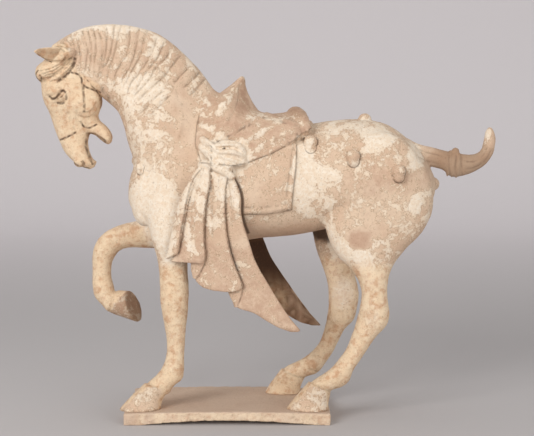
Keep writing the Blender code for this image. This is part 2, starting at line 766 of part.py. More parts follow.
def make_trappings(flesh):
    """Knots, bosses and the tail's wrapping, set on the skin."""
    tree = BVHTree.FromObject(flesh, bpy.context.evaluated_depsgraph_get())
    pieces = []
    for side in (NEAR, FAR):
        for k, path in enumerate(KNOT):
            points = []
            for x, z, out, radius in path:
                x, z = swung(x, z, side)
                points.append((x, side * out, z, radius))
            pieces += roll(f"knot_{k}", points)
        for x, z, size in BOSSES:
            out = side * (flank(tree, x, z, side) + BOSS_PROUD * size)
            low = z - size * BOSS_DROP
            round_part = [size * reach for reach in (BOSS_REACH, BOSS_RISE, BOSS_REACH)]
            pieces.append(lump("boss", (x, out, z), round_part))
            pieces.append(lump("boss_tip", (x, out, low), [size * reach for reach in BOSS_TIP]))
    for x, y, z in MIDLINE_BOSSES:
        pieces.append(lump("boss", (x, y, z), (BOSS_REACH, BOSS_REACH, BOSS_REACH)))
    pieces.append(lump("tail_knot", TAIL_KNOT, TAIL_KNOT_RADII))
    for x, z in TAIL_WRAPS:
        pieces.append(lump("wrap", (x, 0, z), TAIL_WRAP_RADII, TAIL_WRAP_TILT))
    return pieces


def mane_paths():
    """One path for every lock, over the crest and down the neck."""
    guides = []
    for guide in (MANE_START, MANE_MIDDLE, MANE_END):
        guide = smooth_rows([(x, z, 0, 0, 0, 0) for x, z in guide], 8)[:, :2]
        at = np.linspace(0, len(guide) - 1, MANE_LOCKS)
        guides.append([np.interp(at, np.arange(len(guide)), guide[:, k]) for k in (0, 1)])
    paths = []
    for k in range(MANE_LOCKS):
        start, middle, end = [np.array((guide[0][k], guide[1][k])) for guide in guides]
        knots = [(*start, 0, 0, 0, 0), (*middle, 0, 0, 0, 0), (*end, 0, 0, 0, 0)]
        paths.append(smooth_rows(knots, 4)[:, :2])
    return paths


def saddled(flesh):
    """The flesh with the saddle, its cover and the square flap under it."""
    saddled_body = merged("saddled_body", [flesh] + make_saddle(), DETAIL_VOXEL, SADDLE_SOFTENING)
    outer_shell(saddled_body)
    raise_panel(saddled_body, FLAP, FLAP_RISE)
    raise_panel(saddled_body, COVER, COVER_RISE, COVER_FADE)
    for paths, width, depth in SADDLE_MARKS:
        for path in paths:
            stroke(saddled_body, path, width, depth)
    return saddled_body


def carve(horse):
    """Grooves and ridges that a tool left in the clay."""
    for path in mane_paths():
        stroke(horse, path, *MANE_MARK)
    for paths, width, depth in MARKS:
        for path in paths:
            stroke(horse, path, width, depth)
    stroke(horse, ARMPIT, *ARMPIT_MARK, side=NEAR)


def slab_top(x):
    """Height of the slab's top, which is bowed up between its ends."""
    reach = min(abs(x - PLINTH_CENTRE_X) / (PLINTH_LENGTH / 2), 1)
    return PLINTH_THICKNESS + PLINTH_CROWN * (1 - reach**2)


def slab_foot(x):
    """Height of the slab's underside: flat under the ends, arched between them."""
    reach = abs(x - PLINTH_CENTRE_X) / (PLINTH_LENGTH / 2 - PLINTH_FOOT)
    return PLINTH_ARCH * max(1 - reach**2, 0)


def strip_block(name, xs, low, high, half_width):
    """A block whose underside and top follow two curves along X."""
    bm = bmesh.new()
    corners = []
    for x in xs:
        spots = ((-half_width, low(x)), (half_width, low(x)), (half_width, high(x)), (-half_width, high(x)))
        corners.append([bm.verts.new((x, y, z)) for y, z in spots])
    for a, b in zip(corners, corners[1:]):
        for k in range(4):
            n = (k + 1) % 4
            bm.faces.new((a[k], a[n], b[n], b[k]))
    bm.faces.new(corners[0])
    bm.faces.new(corners[-1])
    return mesh_object(name, bm)


def make_plinth():
    half = PLINTH_LENGTH / 2
    inner = half - PLINTH_FOOT
    xs = [-half, *[inner * math.sin(t) for t in np.linspace(-math.pi / 2, math.pi / 2, ARCH_STEPS)], half]
    slab = strip_block("plinth", [PLINTH_CENTRE_X + x for x in xs], slab_foot, slab_top, PLINTH_WIDTH / 2)
    edge = slab.modifiers.new("worn edges", "BEVEL")
    edge.width = PLINTH_EDGE
    edge.segments = 2
    edge.limit_method = "ANGLE"
    return applied(slab)


def stand_on(horse):
    """Cuts the hooves level with the slab's top."""
    xs = np.linspace(PLINTH_CENTRE_X - PLINTH_LENGTH, PLINTH_CENTRE_X + PLINTH_LENGTH, GROUND_STEPS)
    ground = strip_block(
        "ground", xs, lambda x: -PLINTH_THICKNESS, lambda x: slab_top(x) + HOOF_GAP, PLINTH_WIDTH
    )
    cut = horse.modifiers.new("soles", "BOOLEAN")
    cut.solver = "EXACT"
    cut.object = ground
    applied(horse)
    bpy.data.objects.remove(ground)


def thinned(thing, triangles):
    """The skin with about this many triangles, most of them where it curves."""
    fewer = thing.modifiers.new("fewer", "DECIMATE")
    count = sum(len(face.vertices) - 2 for face in thing.data.polygons)
    fewer.ratio = triangles / count
    fewer.use_collapse_triangulate = True
    return applied(thing)


def clay(name, colour):
    """Low-fired clay under worn slip."""
    made = bpy.data.materials.new(name)
    made.use_nodes = True
    skin = made.node_tree.nodes["Principled BSDF"]
    skin.inputs["Base Color"].default_value = (*colour, 1)
    skin.inputs["Roughness"].default_value = CLAY_ROUGHNESS
    return made


def main():
    for thing in list(bpy.data.objects):
        bpy.data.objects.remove(thing)
    flesh = saddled(make_flesh())
    pieces = make_trappings(flesh) + make_head() + make_hooves()
    pieces += make_cloth(NEAR) + make_cloth(FAR)
    pieces += [
        body_loft("tail", TAIL, sides=16),
        body_loft("forelock", FORELOCK, sides=28),
        body_loft("poll_tuft", POLL_TUFT, sides=20),
    ]
    horse = merged("horse", [flesh] + pieces, DETAIL_VOXEL, DETAIL_SOFTENING)
    outer_shell(horse)
    carve(horse)
    thinned(horse, HORSE_TRIANGLES)
    stand_on(horse)
    plinth = make_plinth()
    shelf = bpy.data.collections.new("saddled_horse")
    bpy.context.scene.collection.children.link(shelf)
    for thing, colour in ((horse, HORSE_COLOUR), (plinth, PLINTH_COLOUR)):
        bpy.context.scene.collection.objects.unlink(thing)
        shelf.objects.link(thing)
        thing.data.materials.clear()
        thing.data.materials.append(clay(thing.name + " clay", colour))


main()
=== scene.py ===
import math

import bmesh
import bpy
import numpy as np
from mathutils import Matrix, Vector, noise
from mathutils.bvhtree import BVHTree


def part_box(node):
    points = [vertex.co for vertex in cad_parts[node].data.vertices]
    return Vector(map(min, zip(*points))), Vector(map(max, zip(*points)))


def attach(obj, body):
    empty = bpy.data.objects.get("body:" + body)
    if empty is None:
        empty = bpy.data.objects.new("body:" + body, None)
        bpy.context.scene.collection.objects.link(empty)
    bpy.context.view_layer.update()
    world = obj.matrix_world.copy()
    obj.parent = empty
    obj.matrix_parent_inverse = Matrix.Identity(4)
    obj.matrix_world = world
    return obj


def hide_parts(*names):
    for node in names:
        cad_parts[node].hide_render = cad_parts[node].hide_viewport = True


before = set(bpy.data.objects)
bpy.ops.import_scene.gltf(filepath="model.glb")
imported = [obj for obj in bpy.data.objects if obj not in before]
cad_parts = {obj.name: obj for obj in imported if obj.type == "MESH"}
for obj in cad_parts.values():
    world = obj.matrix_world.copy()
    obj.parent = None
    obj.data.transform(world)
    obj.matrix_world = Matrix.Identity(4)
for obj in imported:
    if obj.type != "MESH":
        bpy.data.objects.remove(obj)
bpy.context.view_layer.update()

# A saddled tomb figure of a prancing horse: fired clay on a thin slab, under worn white slip and traces
# of pink-brown pigment. Its tables are in millimetres of the real piece: x along the slab, towards the tail,
# and z up from a little above the slab. All of it scales with the frame.
PLINTH_LOW, PLINTH_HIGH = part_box("plinth")
PLINTH_LENGTH = PLINTH_HIGH.x - PLINTH_LOW.x
PLINTH_WIDTH = PLINTH_HIGH.y - PLINTH_LOW.y
PLINTH_CENTRE_X = (PLINTH_HIGH.x + PLINTH_LOW.x) / 2
PLINTH_CROWN = 0.0025  # how far the slab's top bows up in the middle
PLINTH_THICKNESS = PLINTH_HIGH.z - PLINTH_CROWN  # at the ends
PLINTH_FOOT = 0.024  # flat strip under each end of the slab
PLINTH_ARCH = 0.0060  # how far the warped underside lifts off the ground in the middle
HOOF_GAP = 0.0003
FIGURE_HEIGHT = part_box("horse")[1].z - PLINTH_THICKNESS
UNIT = FIGURE_HEIGHT / 508.5
BREADTH = PLINTH_WIDTH / 170
TABLE_UNITS = np.array((UNIT, BREADTH, UNIT))
SOLE = 5

# How finely the clay is worked, in metres, and the triangles that carry it.
FLESH_VOXEL = 0.0026
FLESH_SOFTENING = 14
SADDLE_VOXEL = 0.0013
SADDLE_SOFTENING = 5
CLAY_VOXEL = 0.0011
CLAY_SOFTENING = 2
HORSE_TRIANGLES = 186000
ROD_SIDES = 22
LUMP_SIDES, LUMP_RINGS = 20, 12
CURVE_STEPS = 4  # steps from one row of a table to the next
GROUND_STEPS = 49
SLAB_STEPS = 61
SLAB_VOXEL = 0.0014
SLAB_SOFTENING = 3
MILLIMETRE = 0.001
TINY = 1e-9
ENDLESS = 1e9

# The camera, in metres and degrees, with the photograph's focal length in pixels of its frame.
PHOTO_WIDTH = 534
FOCAL_PIXELS = 1414
SENSOR_WIDTH = 0.036
CAMERA_AT = (0.002, -1.9, 0.4175)
CAMERA_TILT = 4.6

NEAR, FAR = -1, 1

# Sections of the body: upper end x, z, lower end x, z, half width, how much narrower the top is.
TRUNK = [
    (-184, 279, -184, 269, 9, 0),
    (-181, 300, -180, 258, 30, 0),
    (-172, 322, -170, 245, 43, 0),
    (-158, 342, -156, 233, 50, 0.05),
    (-137, 366, -135, 222, 54, 0.10),
    (-110, 392, -110, 214, 57, 0.20),
    (-85, 408, -85, 212, 59, 0.28),
    (-60, 410, -60, 212, 62, 0.30),
    (-35, 398, -35, 214, 65, 0.22),
    (0, 380, 0, 218, 68, 0.10),
    (35, 373, 35, 221, 68, 0.05),
    (60, 371, 60, 225, 67, 0.04),
    (86, 375, 84, 230, 68, 0.06),
    (113, 377, 110, 228, 70, 0.08),
    (140, 376, 136, 224, 71, 0.08),
    (163, 370, 158, 220, 69, 0.08),
    (188, 353, 182, 222, 61, 0.05),
    (207, 335, 202, 233, 48, 0),
    (220, 315, 216, 252, 31, 0),
    (228, 296, 226, 272, 14, 0),
]
NECK = [
    (-288, 474, -262, 440, 16, 0.10),
    (-270, 486, -238, 420, 22, 0.20),
    (-247, 498, -221, 408, 24, 0.30),
    (-221, 504, -210, 399, 27, 0.35),
    (-195, 504, -198, 388, 30, 0.40),
    (-165, 499, -190, 370, 34, 0.42),
    (-137, 488, -184, 345, 39, 0.42),
    (-110, 466, -178, 325, 44, 0.40),
    (-88, 443, -176, 300, 48, 0.36),
    (-68, 416, -166, 272, 49, 0.34),
    (-50, 392, -148, 245, 43, 0.34),
    (-34, 370, -130, 232, 32, 0.30),
]

# Swellings of the body and of the head: x, how far out, z, radii, tilt in degrees.
MUSCLES = [
    (-160, 24, 268, 19, 22, 34, 0),
    (-120, 37, 298, 36, 24, 58, 12),
    (148, 41, 300, 60, 30, 62, 0),
]
HEAD_LUMPS = [
    (-241, 19, 401, 21, 10, 21, 0),
    (-277, 21, 416, 15, 8.5, 7, -20),
    (-271.5, 23.5, 404, 8, 6, 6.5, -20),
    (-248, 10, 322, 9, 7, 9, 30),
]

# Sections of a leg: front end x, z, back end x, z, middle y, half width.
NEAR_HIND = [
    (92, 330, 212, 318, 34, 30),
    (80, 290, 222, 283, 38, 32),
    (76, 252, 219, 250, 40, 30),
    (79, 232, 207, 228, 42, 28),
    (86, 211, 187, 208, 44, 26),
    (97, 194, 173, 191, 46, 23),
    (111, 181, 165, 177, 48, 20),
    (121, 168, 162, 164, 49, 18),
    (126, 152, 161, 150, 50, 16),
    (125, 136, 162, 135, 51, 16),
    (122, 121, 164.5, 123, 51, 16.5),
    (118, 107, 161, 107, 51, 16),
    (113, 92, 149, 94, 52, 14),
    (107, 77, 138, 79, 52, 12.5),
    (97, 62, 127, 61, 52, 12),
    (85, 48, 116, 46, 53, 13),
    (76, 42, 112, 33, 54, 14.5),
    (66, 36, 101, 24, 55, 14),
    (59, 31, 86, 20, 56, 15),
    (52, 20, 84, 10, 57, 18),
]
FAR_HIND = [
    (88, 330, 206, 318, 34, 30),
    (72, 290, 208, 283, 37, 32),
    (62, 252, 200, 250, 39, 30),
    (63, 230, 184, 228, 40, 28),
    (66, 211, 162, 208, 42, 26),
    (71, 193, 143, 191, 43, 23),
    (77, 177, 128, 178, 44, 20),
    (82, 163, 124, 164, 45, 18),
    (86, 147, 128, 148, 46, 17),
    (87, 131, 130, 133, 46, 16.5),
    (87, 116, 127.5, 116, 46, 16),
    (84.5, 100, 123, 99, 46, 15.5),
    (81, 85, 112, 88, 46, 14),
    (75, 68, 103, 71, 46, 12.5),
    (64, 54, 95, 55, 46, 13),
    (49, 43, 85, 40, 46, 14.5),
    (38, 38, 72, 23, 46, 14.5),
    (28, 33, 56, 19, 46, 15),
    (18, 24, 50, 10, 46, 18),
]
NEAR_FORE = [
    (-150, 320, -82, 300, 30, 26),
    (-158, 275, -84, 270, 34, 27),
    (-155, 238, -90, 240, 39, 25),
    (-149, 213, -98, 214, 43, 22),
    (-144, 197, -102, 196, 45, 19),
    (-141, 180, -102, 178, 46, 17),
    (-140, 160, -101, 160, 47, 16.5),
    (-139.5, 141, -101, 142, 48, 17),
    (-137, 122, -102, 123, 48, 16),
    (-133.5, 102, -104.5, 102, 49, 13),
    (-131, 82, -106, 82, 49, 12),
    (-132, 64, -107, 63, 50, 12.5),
    (-137, 50, -107, 47, 51, 14.5),
    (-146, 39, -110, 33, 52, 15),
    (-157, 29, -121, 26, 53, 15),
    (-167, 18, -127, 14, 54, 18),
]
RAISED_FORE = [
    (-135, 322, -78, 285, 30, 26),
    (-152, 285, -90, 245, 33, 27),
    (-160, 256, -112, 215, 36, 24),
    (-170, 240.5, -140, 200, 38, 20),
    (-185, 236, -170, 200, 38, 17),
    (-200, 232, -188, 200, 38, 16),
    (-217, 224.5, -200, 196.5, 38, 16),
    (-232, 211, -206.5, 189, 38, 17),
    (-238, 196, -211, 180, 37, 15),
    (-239, 178, -212, 168, 36, 13),
    (-239, 160, -211.5, 157, 35, 12.5),
    (-238.5, 145, -208, 147, 34, 14),
    (-235, 131, -208, 141, 33, 14),
    (-226, 122, -207, 139, 32, 13),
    (-216, 110, -203, 138, 31, 15),
]
HEAD = [
    (-280, 472, -246, 462, 12, 0),
    (-296, 455, -230, 440, 24, 0),
    (-300, 436, -223, 424, 27, 0),
    (-299.5, 422, -221, 411, 28.5, 0),
    (-298.5, 409, -221, 400, 28, 0),
    (-295, 397, -222, 388, 25, 0),
    (-289, 385, -226, 378, 21.5, 0),
    (-285, 372, -231, 368, 19, 0),
    (-281, 360, -235, 359, 17.5, 0),
    (-276.5, 348, -238, 349, 16.5, 0),
    (-271, 336, -237.5, 339, 16, 0),
    (-263.5, 326, -235, 330, 16.5, 0),
    (-255, 318.5, -231, 323, 16, 0),
    (-245, 312.5, -227, 320, 13, 0),
    (-236, 310, -230, 313, 6, 0),
]
LOWER_JAW = [
    (-262, 384, -225, 396, 17, 0),
    (-248, 369, -224, 382, 16, 0),
    (-238, 359, -221.5, 375, 14, 0),
    (-229, 355.5, -214.5, 369, 13.5, 0),
    (-221.5, 349.5, -208.5, 362, 13, 0),
    (-215.5, 345, -205.5, 353, 12, 0),
    (-211, 343, -206.5, 346.5, 7, 0),
]
TAIL = [
    (190, 352, 196, 318, 12, 0),
    (205, 344, 211, 316, 11, 0),
    (222, 340, 224, 313, 11, 0),
    (236, 336, 238, 309, 11.5, 0),
    (250, 333, 248, 301, 12, 0),
    (265, 330.5, 263, 300.5, 11.5, 0),
    (276, 329.5, 281, 307, 10.5, 0),
    (285, 332, 296, 317, 9.5, 0),
    (291, 339, 305, 330, 9, 0),
    (293, 350, 308.5, 347, 8, 0),
    (296, 362, 306, 361, 6.5, 0),
    (299, 366, 303, 365.5, 4, 0),
]

# Hooves: crown front x, z, crown back x, z, sole front x, back x, middle y of crown and sole, half widths.
HOOVES = [
    (57, 32, 86, 18, 30, 83, -56, -58, 16, 23),
    (22, 30, 54, 17, 1, 48, 46, 47, 16, 22),
    (-160, 29, -127, 23, -189, -138, -53, -56, 18, 25),
]
HOOF_ROOT = -12  # the standing hooves run down to here, and are then cut off at the slab
TOE_SPREAD = 0.3  # how far the toe goes on forward below the sole, against its reach from the crown
RAISED_HOOF = [
    (-218, 112, -203, 141, 14, 38),
    (-210, 109, -199, 141, 16, 36),
    (-190, 103, -194, 141, 17, 32),
    (-173, 99, -190, 141, 18, 28),
]

# Saddle: upper end x, z, lower end x, z, half width, narrowing of the top.
SADDLE = [
    (-74, 396, -78, 340, 44, 0.45),
    (-58, 404, -62, 335, 48, 0.50),
    (-42, 402, -46, 330, 51, 0.42),
    (-28, 393, -30, 328, 52, 0.32),
    (-14, 385, -14, 328, 53, 0.20),
    (5, 380.5, 5, 328, 54, 0.14),
    (22, 381, 22, 332, 55, 0.14),
    (36, 383, 36, 338, 54, 0.20),
    (47, 379, 47, 345, 50, 0.25),
    (57, 368, 57, 352, 44, 0.25),
]
# Pommel, from the tip down: back x, z, front x, z, half width, narrowing towards the back.
POMMEL = [
    (-28.5, 434.5, -33, 434.5, 4.5, 0.2),
    (-27, 430, -39, 429, 8, 0.4),
    (-26, 420, -51, 419, 13, 0.55),
    (-24, 408, -61, 409, 22, 0.55),
    (-20, 397, -68, 399, 32, 0.50),
    (-12, 385, -72, 387, 41, 0.42),
    (2, 368, -75, 370, 47, 0.30),
    (8, 350, -76, 352, 49, 0.20),
]
# Cantle: middle of the roll, x, y, z, and its radius, from the near side up to the top.
CANTLE = [
    (54, -48, 361, 3.5),
    (50, -42, 370, 5.3),
    (45, -28, 378, 7.0),
    (41, -12, 382, 7.5),
    (40, 0, 382.5, 7.5),
]
COVER = [
    (-60, 430), (-82, 402), (-90, 370), (-92, 345), (-84, 322), (-40, 318), (-24, 321), (-14, 325),
    (6, 332), (25, 342), (45, 357), (60, 366), (66, 380), (40, 430),
]
COVER_RISE = 4.4
COVER_FADE = (392, 424)  # the cover's thickness fades between these heights, up the pommel
FLAP = [(-70, 345), (-70, 258), (-29, 254), (3, 255), (34, 260), (36, 285), (40, 319), (41, 368), (0, 380)]
FLAP_RISE = 3.2
FLAP_BORDER = [(41, 352), (37.5, 319), (33, 288), (31, 264), (3, 259), (-29, 258), (-60, 260)]
FLAP_SEAM = [(35, 345), (32, 318), (28, 290), (26, 269), (3, 264.5), (-29, 263.5), (-60, 265)]

# Pleats of the hanging cloth, top to hem: left edge x, z, right edge x, z, how far out each edge stands.
PLEATS = {
    "front": [
        (-84, 317, -79, 318, 75, 80),
        (-97, 297, -92, 299, 75, 82),
        (-109, 274, -100, 277, 75, 84),
        (-115, 254, -105, 253, 75, 85),
        (-121, 229, -109, 229, 75, 85),
        (-126, 209, -112, 213, 76, 85),
        (-129, 196, -114, 204, 77, 85),
    ],
    "second": [
        (-81, 318, -72, 312, 76, 81),
        (-93, 297, -72, 294, 74, 82),
        (-103, 266, -77, 266, 74, 83),
        (-109, 236, -79, 236, 74, 83),
        (-114, 214, -79, 214, 74, 83),
        (-119, 202, -77, 204, 75, 83),
        (-123, 193, -81, 191, 76, 83),
    ],
    "second_turned": [
        (-94, 222, -80, 222, 72, 76),
        (-96, 198, -78, 202, 72, 77),
        (-97, 184, -80, 186, 73, 78),
        (-93, 171, -89, 170, 74, 78),
    ],
    "third": [
        (-74, 311, -48, 302, 75, 81),
        (-76, 290, -51, 290, 73, 81),
        (-81, 266, -52, 266, 72, 81),
        (-83, 236, -51, 238, 72, 81),
        (-83, 212, -46, 208, 72, 81),
        (-82, 194, -41, 192, 73, 81),
        (-86, 178, -35, 176, 74, 81),
        (-91, 169, -29, 160, 75, 81),
        (-84, 161, -36, 155, 76, 81),
        (-70, 156, -48, 154, 77, 80),
    ],
    "third_turned": [
        (-56, 178, -36, 178, 69, 74),
        (-50, 157, -30, 157, 70, 76),
        (-39, 133, -35, 133, 72, 76),
    ],
    "rear": [
        (-54, 302, -43, 306, 76, 80),
        (-56, 280, -33, 281, 72, 80),
        (-56, 259, -32, 259, 70, 80),
        (-56, 240, -29, 242, 69, 80),
        (-52, 216, -21, 218, 69, 79),
        (-46, 196, -14, 195, 69, 78),
        (-40, 176, -3, 175, 70, 78),
        (-34, 154, 12, 150, 72, 78),
        (-37, 133, 24, 131, 74, 79),
        (-16, 126, 33, 118, 76, 80),
        (1, 116, 39, 111, 78, 80),
        (17, 107, 44, 105, 79, 81),
        (33, 102, 45.5, 102, 80, 81),
    ],
}
PLEAT_THICKNESS = 7.5
# The right side's cloth swings further back and hangs lower towards its hem.
FAR_SWING = (4, 0.132, 0.075)
CLOTH_TOP = 317
CLOTH_STREAKS = [
    [(-71, 250), (-72, 238)],
    [(-102, 243), (-98, 226), (-96, 209)],
    [(-90, 252), (-91, 245)],
    [(-79, 314), (-81, 303), (-84, 290)],
    [(-58, 308), (-53, 299)],
    [(-59, 290), (-56, 275)],
    [(-46, 300), (-43, 281)],
    [(-38, 282), (-35, 267)],
    [(-87, 272), (-81, 267)],
    [(-95, 290), (-101, 268)],
]
THIGH_STREAKS = [
    [(84, 237), (91, 215), (108, 192)],
    [(116, 200), (132, 200), (134, 172)],
    [(78, 268), (92, 268)],
]
# What joins the cloth to the flank, above the belly: left x, z, right x, z, outer face.
BACKING = [
    (-88, 322, -40, 322, 74),
    (-96, 296, -42, 296, 74),
    (-104, 264, -42, 264, 73),
    (-110, 236, -44, 236, 71),
    (-114, 218, -60, 222, 66),
    (-116, 206, -92, 210, 66),
]
BACKING_HALF = 12
# Rolls of the knot: x, z, how far out the middle of the roll is, radius.
KNOT = [
    [(-84, 353, 50, 4), (-75, 346, 65, 5.2), (-62, 335, 73, 6.2), (-47, 319, 77, 5.2)],
    [(-86, 343, 52, 4), (-77, 336, 67, 5), (-65, 326, 74, 5.4), (-52, 313, 78, 5)],
    [(-68, 338, 70, 4.5), (-56, 345, 72, 5.2), (-42, 345, 71, 5.6), (-31, 338, 69, 5.2), (-27, 328, 66, 4)],
    [(-68, 332, 74, 3.4), (-54, 335, 77, 4.4), (-40, 334, 76, 4.8), (-28, 327, 71, 3.6)],
    [(-60, 325, 76, 3.4), (-46, 325, 77, 4.4), (-34, 321, 74, 4.2), (-20, 327, 60, 3)],
    [(-82, 322, 73, 4.5), (-70, 319, 77, 5.6), (-55, 312, 79, 6), (-44, 304, 79, 5)],
]
KNOT_CREASES = [
    [(-81, 350), (-72, 341), (-60, 330), (-46, 315)],
    [(-82, 345), (-71, 336), (-54, 318)],
    [(-82, 336), (-70, 328), (-58, 315)],
    [(-80, 329), (-70, 322), (-60, 313)],
    [(-66, 341), (-54, 341), (-40, 341), (-30, 335)],
    [(-64, 347), (-50, 348), (-36, 345)],
    [(-66, 333), (-50, 331), (-38, 330), (-28, 324)],
    [(-58, 326), (-46, 323), (-34, 319)],
]
GATHER_FOLDS = [
    [(-79, 316), (-86, 296), (-95, 262), (-100, 225)],
    [(-70, 312), (-68, 290), (-69, 258), (-68, 222)],
    [(-60, 308), (-61, 288), (-63, 262)],
    [(-50, 303), (-46, 284), (-44, 262), (-43, 240)],
]
# Ridges of the cover's folds, which have kept their slip, and bare ones that show the pigment.
COVER_STREAKS = [
    [(-88, 407), (-79, 402), (-72, 392)],
    [(-84, 394), (-83, 382)],
    [(-86, 368), (-73, 367), (-68, 359), (-54, 356)],
    [(-41, 416), (-50, 402), (-58, 391), (-66, 382)],
    [(-32, 349), (-21, 350), (-14, 355), (-4, 361), (10, 370), (20, 375)],
    [(-26, 380), (-8, 381), (8, 377), (18, 372)],
    [(0, 350), (-7, 342), (-13, 336), (-18, 326)],
    [(8, 351), (12, 342)],
    [(-64, 396), (-50, 397)],
    [(45, 374), (52, 368)],
]
COVER_BARE = [
    [(15, 389), (22, 378), (36, 378)],
    [(32, 391), (46, 383), (52, 374)],
    [(-24, 346), (-20, 334), (-21, 322)],
    [(-85, 399), (-76, 398)],
    [(-85, 376), (-75, 375)],
    [(-72, 364), (-66, 375)],
    [(-31, 365), (-45, 366)],
]
COVER_FOLDS = [
    [(-52, 395), (-64, 372), (-72, 350)],
    [(-38, 392), (-48, 370), (-58, 346)],
    [(-20, 378), (-34, 362), (-46, 344)],
    [(12, 366), (-10, 354), (-32, 342)],
    [(35, 360), (10, 345), (-18, 332)],
    [(52, 366), (38, 358), (22, 347)],
]

FORELOCK = [
    (-262, 473, -254, 462, 17, 0),
    (-272, 467, -257, 450, 25, 0),
    (-285, 461, -264, 437, 30, 0),
    (-297, 454, -279, 427, 31, 0),
    (-305, 446, -293, 425.5, 28, 0),
    (-306, 438, -301, 427, 20, 0),
    (-304, 433, -302, 429, 8, 0),
]
POLL_TUFT = [
    (-284, 474, -268, 462, 10, 0),
    (-276, 480, -258, 462, 15, 0),
    (-264, 487, -248, 462, 18, 0),
    (-250, 490, -240, 470, 16, 0),
]
EAR = [
    (-252, 471, -254, 460, 6, 22),
    (-264, 472, -266, 455, 9, 26),
    (-278, 472, -278, 452.5, 9, 29),
    (-290, 471.5, -289, 455.5, 7.5, 29),
    (-298, 470, -296.5, 459.5, 6, 27),
    (-305, 467.5, -304, 465.5, 2.5, 25),
]
# Round ornaments hung from the straps, with a lower lobe: x, z, size against the largest.
BOSSES = [(59, 348, 1.0), (114, 330, 1.0), (173, 310, 1.0), (-165, 314, 0.65)]
BOSS_REACH = 9.0
BOSS_RISE = 7.6
BOSS_RADII = (BOSS_REACH, BOSS_RISE, BOSS_REACH)
BOSS_PROUD = 2.8
BOSS_DROP = 6.8
BOSS_TIP = (7.6, 6.6, 7.8)
OUTSIDE = 200  # clear of the skin on either side
MIDLINE_BOSSES = [(-171, 0, 322), (133, 0, 376), (225, 0, 290)]

TAIL_STRANDS = [
    [(198, 341), (212, 334), (228, 330), (241, 326)],
    [(196, 330), (214, 322), (234, 316)],
    [(262, 322), (277, 320), (290, 328), (298, 344)],
    [(262, 311), (278, 312), (294, 322), (303, 340)],
    [(246, 336), (245, 318), (247, 303)],
    [(256, 328), (254, 314), (256, 300)],
    [(263, 332), (262, 316), (264, 301)],
]
TAIL_KNOT = (255, 0, 333)
TAIL_KNOT_RADII = (5.5, 7, 6)
TAIL_WRAPS = [(246, 318), (252, 317), (258, 316)]
TAIL_WRAP_RADII = (2.6, 13.5, 18)
TAIL_WRAP_TILT = 6

# Grooves between the locks of the forelock, of the tuft behind the ears and of the mane.
FORELOCK_GROOVES = [
    [(-259, 463), (-269, 451), (-282, 444), (-298, 441)],
    [(-256, 459), (-267, 449), (-278, 441), (-297, 436)],
    [(-255, 457), (-265, 447), (-276, 438), (-292, 434)],
    [(-254, 455), (-263, 445), (-273, 438), (-288, 431), (-296, 430)],
    [(-253, 451), (-259, 443), (-266, 437), (-275, 430), (-286, 427)],
]
FORELOCK_CURL = [(-299, 442), (-303, 438), (-303, 432), (-298, 428), (-296, 432), (-298, 436)]
# Under the forelock's lower edge: the soil colour along it is painted shadow.
FORELOCK_BACK = [(-251, 459), (-254, 449), (-259, 440), (-267, 432), (-276, 427)]
POLL_GROOVES = [
    [(-261, 490), (-254, 480), (-252, 470)],
    [(-269, 484), (-261, 480), (-256, 472)],
    [(-275, 479), (-265, 476), (-259, 468)],
    [(-281, 474), (-271, 473), (-263, 465)],
]
EAR_HOLLOW = [(-266, 463), (-276, 461.5), (-288, 463), (-299, 465.5)]
EAR_LIP = [(-301, 463), (-296, 460), (-288, 455), (-279, 453)]
EAR_INSIDE = [(-303, 466), (-297, 470), (-267, 470), (-272, 462), (-279, 454), (-288, 455), (-296, 460)]
MANE_GROOVES = [
    [(-248, 491), (-247, 474), (-244, 457), (-245, 441)],
    [(-244, 496), (-240, 483), (-235, 470), (-236, 457), (-239, 441), (-241, 434)],
    [(-237, 498), (-232, 482), (-230, 462), (-233, 438)],
    [(-230, 500), (-225, 483), (-224, 471), (-226, 452), (-227, 438)],
    [(-224, 500), (-217, 482), (-215, 470), (-216, 455), (-220, 440), (-221, 429)],
    [(-211, 501), (-210, 480), (-211, 466), (-213, 452), (-218, 436)],
    [(-201, 503), (-203, 472), (-208, 454), (-215, 441), (-217, 429)],
    [(-192, 503), (-199, 466), (-202, 454), (-207, 441), (-209, 427)],
    [(-181, 503), (-180, 482), (-184, 460), (-190, 451), (-197, 438), (-200, 423)],
    [(-168, 501), (-170, 478), (-175, 455), (-182, 440), (-188, 431), (-190, 423)],
    [(-157, 497), (-160, 484), (-164, 464), (-173, 446), (-181, 431), (-186, 420)],
    [(-143, 489), (-146, 477), (-149, 466), (-155, 455), (-165, 439), (-176, 426), (-182, 411)],
    [(-134, 481), (-137, 471), (-141, 461), (-153, 444), (-160, 434), (-168, 420), (-174, 410)],
    [(-124, 473), (-131, 459), (-144, 446), (-150, 434), (-163, 418), (-174, 406)],
    [(-112, 463), (-120, 452), (-133, 434), (-144, 424), (-156, 413), (-169, 400)],
    [(-130, 418), (-140, 410), (-150, 401), (-160, 388), (-167, 381)],
    [(-124, 410), (-137, 397), (-146, 388), (-152, 383)],
    [(-99, 449), (-111, 435), (-121, 424)],
    [(-86, 442), (-97, 428), (-110, 417)],
    [(-80, 432), (-89, 419), (-99, 409)],
]
MANE_EDGE = [(-144, 447), (-134, 438), (-125, 424), (-118, 416), (-114, 403), (-109, 396)]

